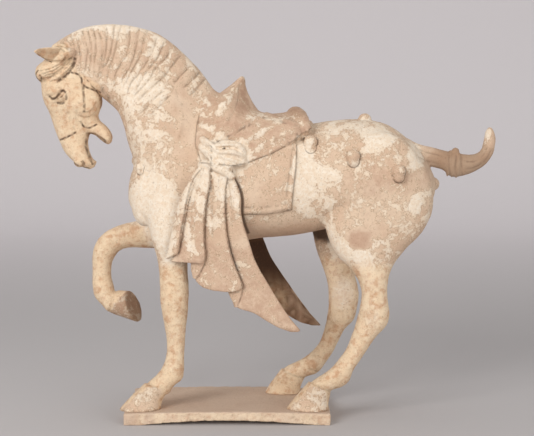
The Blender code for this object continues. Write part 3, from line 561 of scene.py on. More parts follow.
CHEEK_EDGE = [(-221, 402), (-225, 392), (-233, 385), (-244, 385)]
# The throat's corner: the soil colour along it is painted shade.
THROAT = [(-219, 421), (-214, 412), (-205, 401)]
JAW_EDGE = [(-246, 393), (-251, 384), (-250, 374), (-246, 367)]
FACE_CREST = [(-262, 388), (-258, 375), (-254, 362)]
BROW_CREASE = [(-290, 413), (-284, 416), (-276, 419), (-268, 418)]
UPPER_LID = [(-287, 408), (-282, 404), (-278, 405), (-273, 410), (-267, 415), (-263, 412)]
LOWER_LID = [(-263, 412), (-263, 404), (-268, 398), (-276, 399)]
EYEBALL_EDGE = [(-277, 402), (-273, 405), (-269, 407), (-266, 411)]
EYE_REGION = [(-281, 405), (-277, 407), (-272, 411), (-266, 411), (-265, 404), (-270, 398), (-276, 400)]
NOSTRIL = [(-245, 322), (-242.5, 318), (-244, 313.5)]
NOSE_LINE = [(-259, 321), (-253, 317), (-245, 313), (-235, 311)]
MOUTH_LINE = [(-240, 352), (-240, 342), (-237.5, 333), (-234, 324), (-230.5, 316)]
JAW_TROUGH = [(-238, 356), (-230, 355), (-222, 351), (-213, 346)]
JAW_INSIDE = [(-240, 360), (-226, 359), (-214, 351), (-210, 345), (-217, 345), (-228, 351), (-239, 353)]
CHEEK_PIECE = [(-241, 424), (-240, 411), (-239, 400), (-240, 386)]
BRIDLE = [
    [(-257, 439), (-249, 437), (-243, 431), (-242, 424), (-236, 419), (-230, 417), (-218, 412)],
    [(-246, 375), (-241, 367), (-233, 366), (-224, 371)],
    [(-275, 349), (-262, 354.5), (-251, 360.5)],
]
BREAST_STRAP = [(-109, 377), (-113, 361), (-122, 340), (-131, 326), (-139, 310)]
ARMPIT = [(-167, 255), (-160, 247), (-154, 237)]
FLANK_CREASE = [(74, 236), (80, 252), (92, 262), (112, 268)]
# Edges where one pleat lies over the next, and lighter folds between them. The soil colour along them is
# painted shadow of each pleat's edge on the next.
PLEAT_EDGES = [
    [(-81, 316), (-92, 302), (-100, 278), (-105, 252), (-110, 225), (-113, 204), (-128, 197)],
    [(-72, 314), (-71, 296), (-76, 272), (-79, 248), (-79, 222), (-79, 190), (-84, 180), (-90, 171)],
    [
        (-48, 305), (-51, 288), (-52, 266), (-51, 240), (-47, 212), (-41, 192), (-30, 162), (-30, 153),
        (-37, 134),
    ],
]
# Where the deep gap between the cloth and the flank lies. It is painted dark there as shade.
CLOTH_GAP = [(-46, 319), (-43, 305), (-33, 288), (-30, 276), (-30, 255), (-27, 240), (-22, 226)]
POMMEL_EDGE = [(-34, 429), (-35.5, 414), (-37, 400), (-41, 388)]
# The pommel's back face, turned away from the light: the earth colour on it is painted shade, over its
# pink-brown pigment.
POMMEL_BACK = [(-34, 432), (-36, 402), (-40, 380), (-18, 388), (-25, 410), (-27, 434)]
CRUPPER = [[(130, 376), (126, 362), (124, 346)], [(177, 352), (174, 337), (171, 325)]]
HOOF_CORONETS = [
    [(58, 33), (72, 27), (86, 20)],
    [(22, 31), (38, 24), (54, 19)],
    [(-161, 31), (-144, 27), (-128, 25)],
]

# Tool marks: paths, width, depth, how much soil they hold. A mark of negative depth is a ridge. Along the
# pleats' edges, behind the forelock and at the throat, the soil colour is painted shadow.
SADDLE_MARKS = [
    ([FLAP_BORDER], 2.8, -1.2, 0.0),
    ([FLAP_SEAM], 1.5, 0.9, 0.4),
    (COVER_FOLDS, 4.6, 2.2, 0.12),
    (COVER_STREAKS, 5.0, -1.0, 0.0),
    ([POMMEL_EDGE], 1.6, 0.8, 0.4),
]
MARKS = [
    (KNOT_CREASES, 2.4, 2.5, 0.22),
    (TAIL_STRANDS, 1.8, 0.9, 0.35),
    (GATHER_FOLDS, 1.6, 1.0, 0.3),
    (PLEAT_EDGES, 1.4, 0.8, 0.5),
    (CRUPPER, 1.4, 0.4, 0.25),
    ([MANE_EDGE], 1.4, 0.5, 0.3),
    ([EAR_HOLLOW], 6.5, 4.0, 0.2),
    ([EAR_LIP], 1.5, 0.6, 0.55),
    ([FORELOCK_CURL], 1.4, 1.4, 0.85),
    ([FORELOCK_BACK], 3.0, 2.6, 0.95),
    ([CHEEK_EDGE], 3.4, 1.6, 0.12),
    ([THROAT], 4.2, 0.9, 0.45),
    ([JAW_EDGE], 3.0, 0.9, 0.2),
    ([FACE_CREST], 4.0, 1.0, 0.22),
    ([BROW_CREASE], 2.4, 0.9, 0.25),
    ([UPPER_LID], 2.2, 2.4, 1.0),
    ([LOWER_LID], 2.2, 1.4, 0.75),
    ([EYEBALL_EDGE], 1.4, 0.5, 0.65),
    ([NOSTRIL], 2.4, 2.0, 0.85),
    ([NOSE_LINE], 1.8, 0.9, 0.75),
    ([MOUTH_LINE], 2.0, 0.6, 0.75),
    ([JAW_TROUGH], 3.6, 3.4, 0.6),
    ([CHEEK_PIECE], 2.4, 1.2, 0.75),
    (BRIDLE, 1.8, 0.4, 1.0),
    ([FLANK_CREASE], 4.0, 1.0, 0.15),
    (HOOF_CORONETS, 2.6, 1.0, 0.3),
]
PATH_END = 0.1  # how strongly a mark starts, before it fades in
LINE_END, FINE_END = 0.02, 0.01  # the share of its length over which a line fades in
MANE_MARK = (2.1, 2.1, 0.42)
LOCK_MARK = (1.6, 1.7, 0.38)
STRAP_MARK = (3.4, -1.5)
ARMPIT_MARK = (2.6, 1.6)
LOCK_WRAP = 8  # locks run further round than other marks

# Where the skin keeps all its triangles, in mm: around marks that hold this much soil, the gap, and bosses.
FINE_SOIL = 0.45
FINE_BESIDE, FINE_GAP, FINE_BOSS = 1.2, 5, 16
HEAD_FADE, HEAD_KEPT = 10, 0.85
WEIGHT_STEPS = 10

# The slip that is left: x, z, reach along x and z, and how much thicker (or barer, where negative).
SLIP_PATCHES = [
    (-148, 262, 34, 44, 0.34),
    (-166, 348, 12, 40, 0.10),
    (-126, 216, 13, 26, 0.45),
    (-165, 418, 36, 20, 0.08),
    (-190, 499, 62, 6, 0.25),
    (-203, 485, 14, 9, 0.22),
    (-148, 478, 10, 14, 0.10),
    (-137, 384, 18, 14, 0.08),
    (-100, 330, 20, 50, -0.12),
    (-110, 390, 16, 40, -0.12),
    (-56, 332, 34, 22, 0.42),
    (-66, 304, 24, 10, 0.25),
    (50, 306, 15, 44, 0.31),
    (76, 308, 20, 9, 0.36),
    (62, 268, 22, 16, 0.06),
    (146, 353, 20, 12, 0.34),
    (112, 368, 40, 10, 0.10),
    (199, 330, 13, 16, 0.34),
    (196, 268, 9, 14, 0.30),
    (150, 290, 42, 22, -0.10),
    (122, 222, 16, 14, -0.45),
    (100, 204, 12, 24, 0.34),
    (128, 193, 10, 14, 0.34),
    (150, 235, 30, 22, -0.06),
    (-226, 462, 26, 34, -0.10),
    (-190, 480, 28, 20, -0.10),
    (-158, 418, 26, 20, 0.14),
    (144, 150, 24, 44, 0.08),
    (92, 150, 18, 30, 0.18),
    (107, 138, 14, 24, 0.20),
    (75, 20, 22, 20, 0.04),
    (-100, 235, 10, 14, 0.10),
    (0, 226, 90, 16, -0.25),
    (262, 325, 66, 40, -0.25),
    (290, 350, 12, 20, 0.25),
]
PATCH_REACH = 1.4  # a patch fades out this much further than its stated reach
# Sooty and earthy places: x, z, reach along x and z, how strong. At the throat's corner (-210, 400) and down
# the back of the standing foreleg (-104, 140) the darkening is painted shade.
EARTH_PATCHES = [
    (60, 222, 60, 12, 0.12),
    (86, 96, 16, 14, 0.32),
    (24, 14, 22, 12, 0.22),
    (-150, 20, 30, 12, 0.15),
    (-122, 110, 20, 60, 0.10),
    # Painted shade down the back of the standing foreleg.
    (-104, 140, 8, 60, 0.18),
    (-240, 330, 10, 22, 0.14),
    (262, 322, 50, 30, 0.62),
    (-224, 352, 18, 10, 0.22),
    (42, 387, 16, 9, 0.35),
    # Painted shade in the throat's corner.
    (-210, 400, 10, 10, 0.3),
    (72, 20, 26, 18, 0.24),
    (68, 50, 14, 12, 0.22),
    (106, 169, 10, 12, 0.16),
    (101, 37, 16, 10, 0.16),
    (118, 108, 10, 12, 0.14),
    (34, 108, 24, 14, 0.18),
    (20, 240, 50, 10, 0.06),
]
# Stains along the slab's edge, in the same way.
SLAB_STAINS = [(-178, -11, 14, 16, 0.35), (-152, -11, 7, 16, 0.30), (30, -11, 16, 16, 0.14)]
# Where the cream wash has worn off to the slip: x, z, reach along x and z, how much.
CREAM_WORN = [(107, 138, 16, 26, 0.5), (138, 118, 10, 16, 0.4)]
# Where the pink-brown pigment is thicker, or thinner where negative: x, z, reach along x and z, how much.
PIGMENT_PATCHES = [
    (121, 221, 19, 15, 0.38),
    (-100, 350, 16, 40, -0.12),
    (-64, 262, 40, 30, -0.15),
    (-126, 216, 13, 26, -0.60),
    (140, 300, 44, 24, 0.22),
    (0, 226, 90, 16, -0.40),
    (-140, 470, 30, 22, 0.25),
    (190, 300, 20, 26, 0.20),
]
# Regions of the side view.
RAISED_HOOF_REGION = [(-215, 108), (-202, 131), (-189, 143), (-168, 120), (-168, 96), (-195, 100)]
RAISED_SOLE = [(-189, 143), (-168, 120), (-168, 96), (-184, 103), (-193, 124)]
GROIN = [(58, 246), (98, 246), (98, 224), (90, 210), (62, 212)]  # deep shade between the hind legs
HEAD_REGION = [
    (-320, 478), (-262, 478), (-248, 440), (-219, 424), (-216, 396), (-200, 340), (-230, 300), (-320, 300),
]
KNOT_REGION = [(-88, 358), (-60, 352), (-24, 348), (-18, 322), (-36, 304), (-84, 310)]
CLOTH_REGION = [(-96, 330), (-40, 345), (-20, 320), (-40, 250), (70, 80), (30, 90), (-130, 160), (-140, 220)]

# What each layer has more of, or less, on the parts of the figure, in shares of 1.
PLAIN_SLIP, PATCH_SLIP, COVER_SLIP, COVER_PATCH_SLIP = 0.47, 0.84, 0.405, 0.25
CLOTH_EVENER = 0.6  # how much less the patches tell on the hanging cloths
SLIP_SHARES = {"flap": -0.04, "cloth": -0.05, "cloth upper": 0.10, "cloth lower": -0.06, "knot": 0.22}
SLIP_SHARES.update({"cover streaks": 0.15, "cloth streaks": 0.20, "thigh streaks": 0.22})
PLAIN_PIGMENT = 0.5
PIGMENT_SHARES = {"cover": 0.3, "cover bare": 0.4, "cloth": 0.3, "head": -0.25, "flap": -0.1, "knot": -0.4}
PIGMENT_SHARES["raised hoof"] = 0.5
EARTH_SHARES = {"raised hoof": 0.36, "raised sole": 0.2}
# On the pommel's back face this darkening is painted shade.
EARTH_REGIONS = [(EAR_INSIDE, 0.55), (EYE_REGION, 0.32), (JAW_INSIDE, 0.5), (POMMEL_BACK, 0.25)]
# Soil colour round the panels, partly soil and partly painted shadow, then painted shade in the gap, round
# the ornaments and between the hind legs.
PANEL_SOIL_AND_SHADOW, GAP_SHADE_PAINT, BOSS_SHADOW_PAINT, GROIN_SHADE_PAINT = 0.6, 0.9, 0.65, 0.9
HOLLOW_SOIL, KNOT_CLEANER, LINE_KEPT = 0.7, 0.5, 0.45
# The inside of the hanging cloths: how much of its slip is left, and how much lighter its painted shade is
# at the top. The soil colour there is painted shade, over brown earth.
LINING_SLIP, LINING_TOP_LIGHTER = 0.2, 0.5
FOOT_SHADE, FOOT_EARTH = (0.8, 0.5), (0.35, 0.6)  # how much less at the lining's foot: all over, and unevenly

# Parts of the side view, and over how many mm their edges blend.
PART_REGIONS = [
    ("head", HEAD_REGION, 8),
    ("cover", COVER, 2),
    ("flap", FLAP, 2),
    ("cloth", CLOTH_REGION, 2),
    ("knot", KNOT_REGION, 6),
    ("raised hoof", RAISED_HOOF_REGION, 2),
    ("raised sole", RAISED_SOLE, 2),
    ("groin", GROIN, 5),
]
# Streaks where more or less slip is left: their paths, their width in mm, and the part that they keep to.
STREAKS = [
    ("cover streaks", COVER_STREAKS, 5.5, "cover"),
    ("cover bare", COVER_BARE, 7, "cover"),
    ("cloth streaks", CLOTH_STREAKS, 9, "cloth"),
    ("thigh streaks", THIGH_STREAKS, 8, "all"),
]

# How far out and how high parts begin or end, in mm.
KNOT_OUT, LEG_OUT, GAP_OUT, GAP_WIDTH = 55, 70, 71, 3
LEG_TOP, SHOULDER_HIGHER, SHOULDER_FROM, LEG_FADE = 205, 45, (-150, -20), -30
SADDLE_FROM, SADDLE_OUT, SADDLE_TOP = -95, 20, 385
# The inside of the hanging cloths: how far out and high it is, and how squarely it faces the middle.
LINING_OUT, LINING_TOP, LINING_FACING = 60, 222, 0.3

# Where a smooth rise starts, and its span, which is negative for a rise downward or inward.
CLOTH_OUT, CLOTH_HIGH, CLOTH_LOW = (69, 2), (225, 50), (170, -30)
LINING_LOW, LINING_HIGH = (175, -50), (203, 12)
HOLLOW_SOILED, SLAB_SOILED = (0.06, 0.30), (0.05, 0.4)  # hollowness, in 1/mm
LINE_FACING, SLAB_TOP_FACING = (0, 0.4), (0.3, 0.5)  # how squarely the skin faces sideways, or up
LINE_WORN, PANEL_WORN = (-1 / 3, 5 / 12), (-0.5, 0.5)  # against the uneven wear, from -1 to 1
PANEL_EDGE = (1.7, -1.7)
# Painted shadow round each ornament's rim, on its lower right side, away from the light:
BOSS_RIM, RIM_EDGE, RIM_SHADED = 1.02, (0.19, -0.19), (-10, 20)  # against an ornament's reach, and in mm

# The slab's layers, at its edges and on its top.
SLAB_LAYERS = [("slip_left", 0.58, 0.34), ("pigment_left", 0, 0.4), ("cream_wash", 0.9, 0)]
EDGE_EARTH, TOP_EARTH, SLAB_SOIL = 0.34, 0.70, 0.4

# Sizes of the clay's patterns, in millimetres. The grain is really near 0.3 mm, drawn coarser to show.
FLAKE_SPAN = 15
DRIFT_SPAN = 45
MOTTLE_SPAN = 9
CRUMB_SPAN = 5
GRAIN_SPAN = 2.0
WORN_SPAN = 4  # how far a line of soil runs before wear breaks it
STAIN_SPAN = 3
HAND_SPAN, HAND_HEIGHT = 16, 0.35  # waves left by the hand that smoothed the clay
SLIP_THICKNESS = 0.2
GRAIN_DEPTH = 0.12
CRUMB_DEPTH = 0.5
CLAY_ROUGHNESS = 0.9
CLAY_SHEEN = 0.3
PAPER_ROUGHNESS = 0.95

# The clay's patterns: size in mm, fine detail, how strong that is, and how much the pattern swirls.
CLAY_PATTERNS = [
    ("flakes", FLAKE_SPAN, 7, 0.62, 0.4),
    ("crumbs", CRUMB_SPAN, 5, 0.65, 0.6),
    ("drift", DRIFT_SPAN, 3, 0.5, 0.0),
    ("grain", GRAIN_SPAN, 4, 0.65, 0.0),
    ("mottle", MOTTLE_SPAN, 5, 0.6, 0.0),
]
# Layers that cover more where more of them is left: the pattern added to that, the levels between which
# their cover rises, and the most that they cover.
LEFT_LAYERS = [
    ("pigment_left", "mottle", 0.95, 1.40, 0.95),
    ("cream_wash", "mottle", 0.75, 1.30, 0.72),
    ("earth_stain", "mottle", 0.35, 0.95, 0.95),
    ("soil_and_shade_held", "crumbs", 0.45, 0.90, 0.95),
]
# Layers that follow a pattern alone, with the same columns.
PATTERN_LAYERS = [
    ("thin slip", "slip", 0.36, 0.52, 0.55),
    ("thick slip", "slip", 0.485, 0.525, 0.85),
    ("warm body", "drift", 0.4, 0.6, 1.0),
    ("warm slip", "crumbs", 0.35, 0.65, 1.0),
    ("deep cream", "mottle", 0.45, 0.68, 1.0),
    ("specks", "grain", 0.56, 0.70, 0.42),
]
# The slip's pattern: how much the share that is left tells, set level at a half, and what breaks it up.
SLIP_TELLS, SLIP_MIDDLE = 0.75, -0.375
SLIP_BREAKS = [("flakes", 0.54), ("crumbs", 0.46)]
SLIP_EDGE_AT, SLIP_EDGE_SPAN = 0.478, 0.009

# Wear of the slab, in metres: its waves, how much is gone all over, and how much more near the edges.
SLAB_WEAR_SPAN = 0.010
SLAB_WEAR, RIM_WEAR, RIM_REACH = 0.0004, 0.0016, 0.004
SLAB_WAVES = (0.7, 2.2, 4)  # how strong each finer wave is, how much finer it is, and how many there are
WEAR_BIAS = 0.1

# Colours as they look in plain daylight.
CLAY_BUFF = "#D7BEA6"
CLAY_WARM = "#CCAE95"
PIGMENT = "#BA9881"
SLIP_WHITE = "#EEE3D3"
SLIP_WARM = "#E3CFB7"
SLIP_THIN = "#E3CAAE"
CREAM = "#E9CFAD"
CREAM_DEEP = "#CDA17C"
EARTH = "#7E5C40"
SLAB_DUST = "#C6AE9B"
# The dark brown of soil, also used as painted shade and painted shadow inside the cloths, in the gap by the
# cloth, between the hind legs, round the ornaments and along the panels' and pleats' edges.
SOIL_AND_SHADE = "#463023"
# The paper is painted darker in front and paler where it climbs behind: painted light.
PAPER_FLOOR_SHADED = "#BFBBBB"
PAPER_WALL_LIT = "#ECE7E9"
ROOM_LIGHT = "#FBFAF9"
ROOM_STRENGTH = 0.55

# Lamps: name, place, width, watts and colour.
LIGHTS = [
    ("key", (-1.45, -2.25, 1.35), 1.4, 45, "#FFFEFC"),
    ("fill", (1.5, -2.3, 0.40), 1.8, 26, "#FFFDFA"),
    ("top", (-0.1, 0.5, 2.1), 1.5, 2, "#FFFFFF"),
]
LIGHT_AIM = (-0.02, 0.0, 0.25)
SWEEP_BACK = 2.4
SWEEP_CURVE = 1.0
SWEEP_STEPS = 12
SWEEP_FRONT, SWEEP_TOP, SWEEP_SIDE = -4.0, 4.0, 5
# Where, going back, the paper is painted paler, as painted light:
LIGHT_PAINTED_FROM, LIGHT_PAINTED_TO = 0.6, 3.2  # where, going back, the paper grows paler


def smooth_rows(rows):
    """The rows, and the points of a smooth curve between them."""
    knots = np.array(rows, float)
    place = np.concatenate([[0.0], np.cumsum(np.linalg.norm(np.diff(knots[:, :6], axis=0), axis=1))])
    slope = np.gradient(knots, place, axis=0)
    found = []
    for i in range(len(knots) - 1):
        span = place[i + 1] - place[i]
        for s in np.arange(CURVE_STEPS) / CURVE_STEPS:
            rise = s * s * (3 - 2 * s)
            found.append(
                knots[i] * (1 - rise)
                + knots[i + 1] * rise
                + span * slope[i] * s * (1 - s) ** 2
                - span * slope[i + 1] * s * s * (1 - s)
            )
    return np.array(found + [knots[-1]])


def mesh_object(name, bm):
    bmesh.ops.recalc_face_normals(bm, faces=bm.faces)
    mesh = bpy.data.meshes.new(name)
    bm.to_mesh(mesh)
    bm.free()
    made = bpy.data.objects.new(name, mesh)
    bpy.context.scene.collection.objects.link(made)
    return made


def placed(point):
    """A point of the tables in the shared frame."""
    return Vector((point[0] * UNIT, point[1] * BREADTH, (point[2] + SOLE) * UNIT + PLINTH_THICKNESS))


def loft(name, rows, sides=24, power=2.0):
    """A closed solid through oval sections: one end x, y, z, other end x, y, z, half width, narrowing."""
    rows = smooth_rows(rows)
    middle = (rows[:, 0:3] + rows[:, 3:6]) / 2
    reach = (rows[:, 0:3] - rows[:, 3:6]) / 2
    across = np.cross(np.gradient(middle, axis=0), reach)
    across /= np.linalg.norm(across, axis=1)[:, None]
    turn = (np.arange(sides) + 0.5) * math.tau / sides
    high = np.sign(np.sin(turn)) * np.abs(np.sin(turn)) ** (2 / power)
    wide = np.sign(np.cos(turn)) * np.abs(np.cos(turn)) ** (2 / power)
    bm = bmesh.new()
    rings = []
    for centre, half, side, row in zip(middle, reach, across, rows):
        girth = row[6] * (1 - row[7] * high) * wide
        points = centre + np.outer(high, half) + np.outer(girth, side)
        rings.append([bm.verts.new(placed(p)) for p in points])
    for lower, upper in zip(rings, rings[1:]):
        for k in range(sides):
            n = (k + 1) % sides
            bm.faces.new((lower[k], lower[n], upper[n], upper[k]))
    bm.faces.new(rings[0])
    bm.faces.new(rings[-1])
    return mesh_object(name, bm)


def body_loft(name, rows, **options):
    return loft(name, [(a, 0, b, c, 0, d, wide, taper) for a, b, c, d, wide, taper in rows], **options)


def leg_loft(name, rows, side):
    return loft(name, [(a, side * y, b, c, side * y, d, wide, 0) for a, b, c, d, y, wide in rows], sides=20)


def lump(name, centre, radii, tilt=0.0):
    """An oval swelling, tilted in the side view by tilt degrees."""
    bm = bmesh.new()
    bmesh.ops.create_uvsphere(bm, u_segments=LUMP_SIDES, v_segments=LUMP_RINGS, radius=1.0)
    turn = Matrix.Rotation(math.radians(tilt), 4, "Y")
    size = Matrix.Diagonal((radii[0] * UNIT, radii[1] * BREADTH, radii[2] * UNIT, 1))
    bmesh.ops.transform(bm, matrix=Matrix.Translation(placed(centre)) @ turn @ size, verts=bm.verts)
    return mesh_object(name, bm)


def swellings(name, table, side):
    return [lump(name, (x, side * out, z), radii, tilt) for x, out, z, *radii, tilt in table]


def roll(name, points):
    """A round roll of clay through points x, y, z, radius."""
    curve = smooth_rows([(x, y, z + r, x, y, z - r, r, 0) for x, y, z, r in points])
    made = []
    for k, (a, b) in enumerate(zip(curve, curve[1:])):
        start, end = Vector(a[:3]) - Vector((0, 0, a[6])), Vector(b[:3]) - Vector((0, 0, b[6]))
        made.append(rod(f"{name}_{k}", start, end, a[6], b[6]))
    return made


def rod(name, start, end, radius_a, radius_b):
    """A tapered rod with round ends."""
    bm = bmesh.new()
    span = end - start
    turn = span.to_track_quat("Z", "X").to_matrix().to_4x4()
    bmesh.ops.create_cone(
        bm, cap_ends=True, segments=ROD_SIDES, radius1=radius_a, radius2=radius_b, depth=span.length
    )
    bmesh.ops.transform(bm, matrix=Matrix.Translation((start + end) / 2) @ turn, verts=bm.verts)
    ball = bmesh.ops.create_icosphere(bm, subdivisions=2, radius=radius_b)["verts"]
    bmesh.ops.translate(bm, vec=end, verts=ball)
    for v in bm.verts:
        v.co = placed(v.co)
    return mesh_object(name, bm)


def merged(name, pieces, voxel, smoothing):
    """The pieces as one skin: remeshed together, and softened."""
    graph = bpy.context.evaluated_depsgraph_get()
    bm = bmesh.new()
    for piece in pieces:
        bm.from_mesh(piece.evaluated_get(graph).data)
    for piece in pieces:
        bpy.data.objects.remove(piece)
    whole = mesh_object(name, bm)
    skin = whole.modifiers.new("skin", "REMESH")
    skin.mode = "VOXEL"
    skin.voxel_size = voxel
    soft = whole.modifiers.new("soften", "SMOOTH")
    soft.factor = 0.5
    soft.iterations = smoothing
    return applied(whole)


def applied(thing):
    """The object with its modifiers made real."""
    graph = bpy.context.evaluated_depsgraph_get()
    mesh = bpy.data.meshes.new_from_object(thing.evaluated_get(graph))
    thing.modifiers.clear()
    thing.data = mesh
    return thing


def outer_shell(thing):
    """Drops the skins of hollows sealed inside, and keeps the outer one."""
    bm = bmesh.new()
    bm.from_mesh(thing.data)
    unseen = set(bm.verts)
    groups = []
    while unseen:
        front = [unseen.pop()]
        group = []
        while front:
            v = front.pop()
            group.append(v)
            for edge in v.link_edges:
                other = edge.other_vert(v)
                if other in unseen:
                    unseen.remove(other)
                    front.append(other)
        groups.append(group)
    groups.sort(key=len)
    spare = [v for group in groups[:-1] for v in group]
    bmesh.ops.delete(bm, geom=spare, context="VERTS")
    bm.to_mesh(thing.data)
    bm.free()
    return thing


def vertices_of(thing):
    """Places, in the units of the tables, and normals of the vertices."""
    count = len(thing.data.vertices)
    place, normal = np.empty(count * 3), np.empty(count * 3)
    thing.data.vertices.foreach_get("co", place)
    thing.data.vertices.foreach_get("normal", normal)
    place = place.reshape(-1, 3) - np.array(placed((0, 0, 0)))
    return place / TABLE_UNITS, normal.reshape(-1, 3)


def move_vertices(thing, place):
    thing.data.vertices.foreach_set("co", (place * TABLE_UNITS + np.array(placed((0, 0, 0)))).ravel())
    thing.data.update()


def ramp(value):
    """0 up to 0 and 1 from 1 on, with a smooth rise between."""
    value = np.clip(value, 0, 1)
    return value * value * (3 - 2 * value)


def rising(value, start, span):
    """A smooth rise from 0 at the start to 1 a span further on, or back where the span is negative."""
    return ramp((value - start) / span)


def depth_inside(points, outline):
    """Signed distance from an outline in the side view, positive inside."""
    corners = np.array(outline, float)
    nearest = np.full(len(points), ENDLESS)
    inside = np.zeros(len(points), bool)
    for a, b in zip(corners, np.roll(corners, -1, axis=0)):
        edge = b - a
        along = np.clip(((points - a) @ edge) / (edge @ edge), 0, 1)
        nearest = np.minimum(nearest, np.linalg.norm(points - a - along[:, None] * edge, axis=1))
        if a[1] != b[1]:
            crosses = (a[1] > points[:, 1]) != (b[1] > points[:, 1])
            inside ^= crosses & (points[:, 0] < a[0] + (points[:, 1] - a[1]) * edge[0] / edge[1])
    return np.where(inside, nearest, -nearest)


def raise_panel(thing, outline, height, fade=None, edge=1.4):
    """Lifts the skin inside an outline drawn on the side view, on both sides."""
    place, normal = vertices_of(thing)
    share = ramp(depth_inside(place[:, (0, 2)], outline) / edge + 0.5)
    if fade:
        share *= ramp((fade[1] - place[:, 2]) / (fade[1] - fade[0]))
    move_vertices(thing, place + normal * (height * share)[:, None])


def closeness(points, path, width, fade=0.2):
    """How close points of the side view are to a path: 1 on it, 0 at its width. Its ends fade."""
    path = np.array(path, float)
    share = np.zeros(len(points))
    low, high = path.min(axis=0) - width, path.max(axis=0) + width
    index = np.nonzero(np.all((points > low) & (points < high), axis=1))[0]
    found = points[index]
    lengths = np.linalg.norm(np.diff(path, axis=0), axis=1)
    starts = np.concatenate([[0.0], np.cumsum(lengths)])
    best, where = np.full(len(found), ENDLESS), np.zeros(len(found))
    for i, (a, b) in enumerate(zip(path, path[1:])):
        along = np.clip(((found - a) @ (b - a)) / lengths[i] ** 2, 0, 1)
        away = np.linalg.norm(found - a - along[:, None] * (b - a), axis=1)
        closer = away < best
        best = np.where(closer, away, best)
        where = np.where(closer, starts[i] + along * lengths[i], where)
    end = np.minimum(where, starts[-1] - where) / (fade * starts[-1] + TINY)
    share[index] = np.clip(1 - (best / width) ** 2, 0, 1) * ramp(end + PATH_END)
    return share


def stroke(thing, paths, width, depth, side=0, wrap=2.5):
    """Tool marks along paths in the side view: grooves, or ridges where depth is negative.

    The larger wrap is, the further the marks run round on to faces that turn away to the front or back."""
    place, normal = vertices_of(thing)
    share = np.zeros(len(place))
    for path in paths:
        share = np.maximum(share, closeness(place[:, (0, 2)], path, width))
    share *= ramp(np.abs(normal[:, 1]) * wrap)
    if side:
        share *= place[:, 1] * side > 0
    move_vertices(thing, place - normal * (depth * share)[:, None])


def make_flesh():
    """Body, neck and legs of the bare horse."""
    pieces = [
        body_loft("trunk", TRUNK, sides=40, power=2.15),
        body_loft("neck", NECK, sides=36, power=2.1),
        leg_loft("near_hind_leg", NEAR_HIND, NEAR),
        leg_loft("far_hind_leg", FAR_HIND, FAR),
        leg_loft("near_foreleg", NEAR_FORE, NEAR),
        leg_loft("raised_foreleg", RAISED_FORE, FAR),
    ]
    for side in (NEAR, FAR):
        pieces += swellings("muscle", MUSCLES, side)
    return merged("flesh", pieces, FLESH_VOXEL, FLESH_SOFTENING)


def make_head():
    pieces = [body_loft("head", HEAD, sides=28, power=2.3), body_loft("lower_jaw", LOWER_JAW, sides=16)]
    for side in (NEAR, FAR):
        pieces += swellings("head_lump", HEAD_LUMPS, side)
        rows = [(a, side * y, b, c, side * y, d, wide, 0) for a, b, c, d, wide, y in EAR]
        pieces.append(loft("ear", rows, sides=16))
    return pieces


def make_hooves():
    pieces = []
    for k, (xa, za, xb, zb, toe, heel, y_top, y_foot, wide, spread) in enumerate(HOOVES):
        share = -(za + zb) / 2 / (HOOF_ROOT - (za + zb) / 2)
        rows = [(xa, y_top, za, xb, y_top, zb, wide, 0)]
        rows.append((toe, y_foot, 0, heel, y_foot, 0, wide * (1 - share) + spread * share, 0))
        low_toe = toe - (xa - toe) * TOE_SPREAD
        rows.append((low_toe, y_foot, HOOF_ROOT, heel, y_foot, HOOF_ROOT, spread, 0))
        pieces.append(loft(f"hoof_{k}", rows, power=2.2))
    rows = [(a, y, b, c, y, d, wide, 0) for a, b, c, d, wide, y in RAISED_HOOF]
    pieces.append(loft("raised_hoof", rows, power=2.1))
    return pieces


def make_saddle():
    pieces = [
        body_loft("saddle", SADDLE, sides=32, power=2.2),
        body_loft("pommel", POMMEL, sides=28, power=2.1),
    ]
    return pieces + roll("cantle", CANTLE + [(x, -y, z, r) for x, y, z, r in CANTLE[::-1] if y])


def swung(x, z, side):
    """A point of the near cloth, moved to where the far one hangs."""
    drop = max(CLOTH_TOP - z, 0)
    if side == NEAR:
        return x, z
    return x + FAR_SWING[0] + FAR_SWING[1] * drop, z - FAR_SWING[2] * drop


def make_cloth(side):
    """The pleated cloth that hangs from the knot, and the layer behind its pleats."""
    strips = [(name, rows, PLEAT_THICKNESS / 2, 32) for name, rows in PLEATS.items()]
    strips.append(("backing", [(*row, row[-1]) for row in BACKING], BACKING_HALF, 24))
    pieces = []
    for name, rows, half, sides in strips:
        edges = []
        for xa, za, xb, zb, out_a, out_b in rows:
            (xa, za), (xb, zb) = swung(xa, za, side), swung(xb, zb, side)
            edges.append((xa, side * (out_a - half), za, xb, side * (out_b - half), zb, half, 0))
        pieces.append(loft(name, edges, sides=sides, power=4))
    return pieces


def flank(tree, x, z, side):
    """How far out the skin is, at a point of the side view."""
    hit = tree.ray_cast(placed((x, side * OUTSIDE, z)), Vector((0, -side, 0)))[0]
    return abs(hit.y) / BREADTH


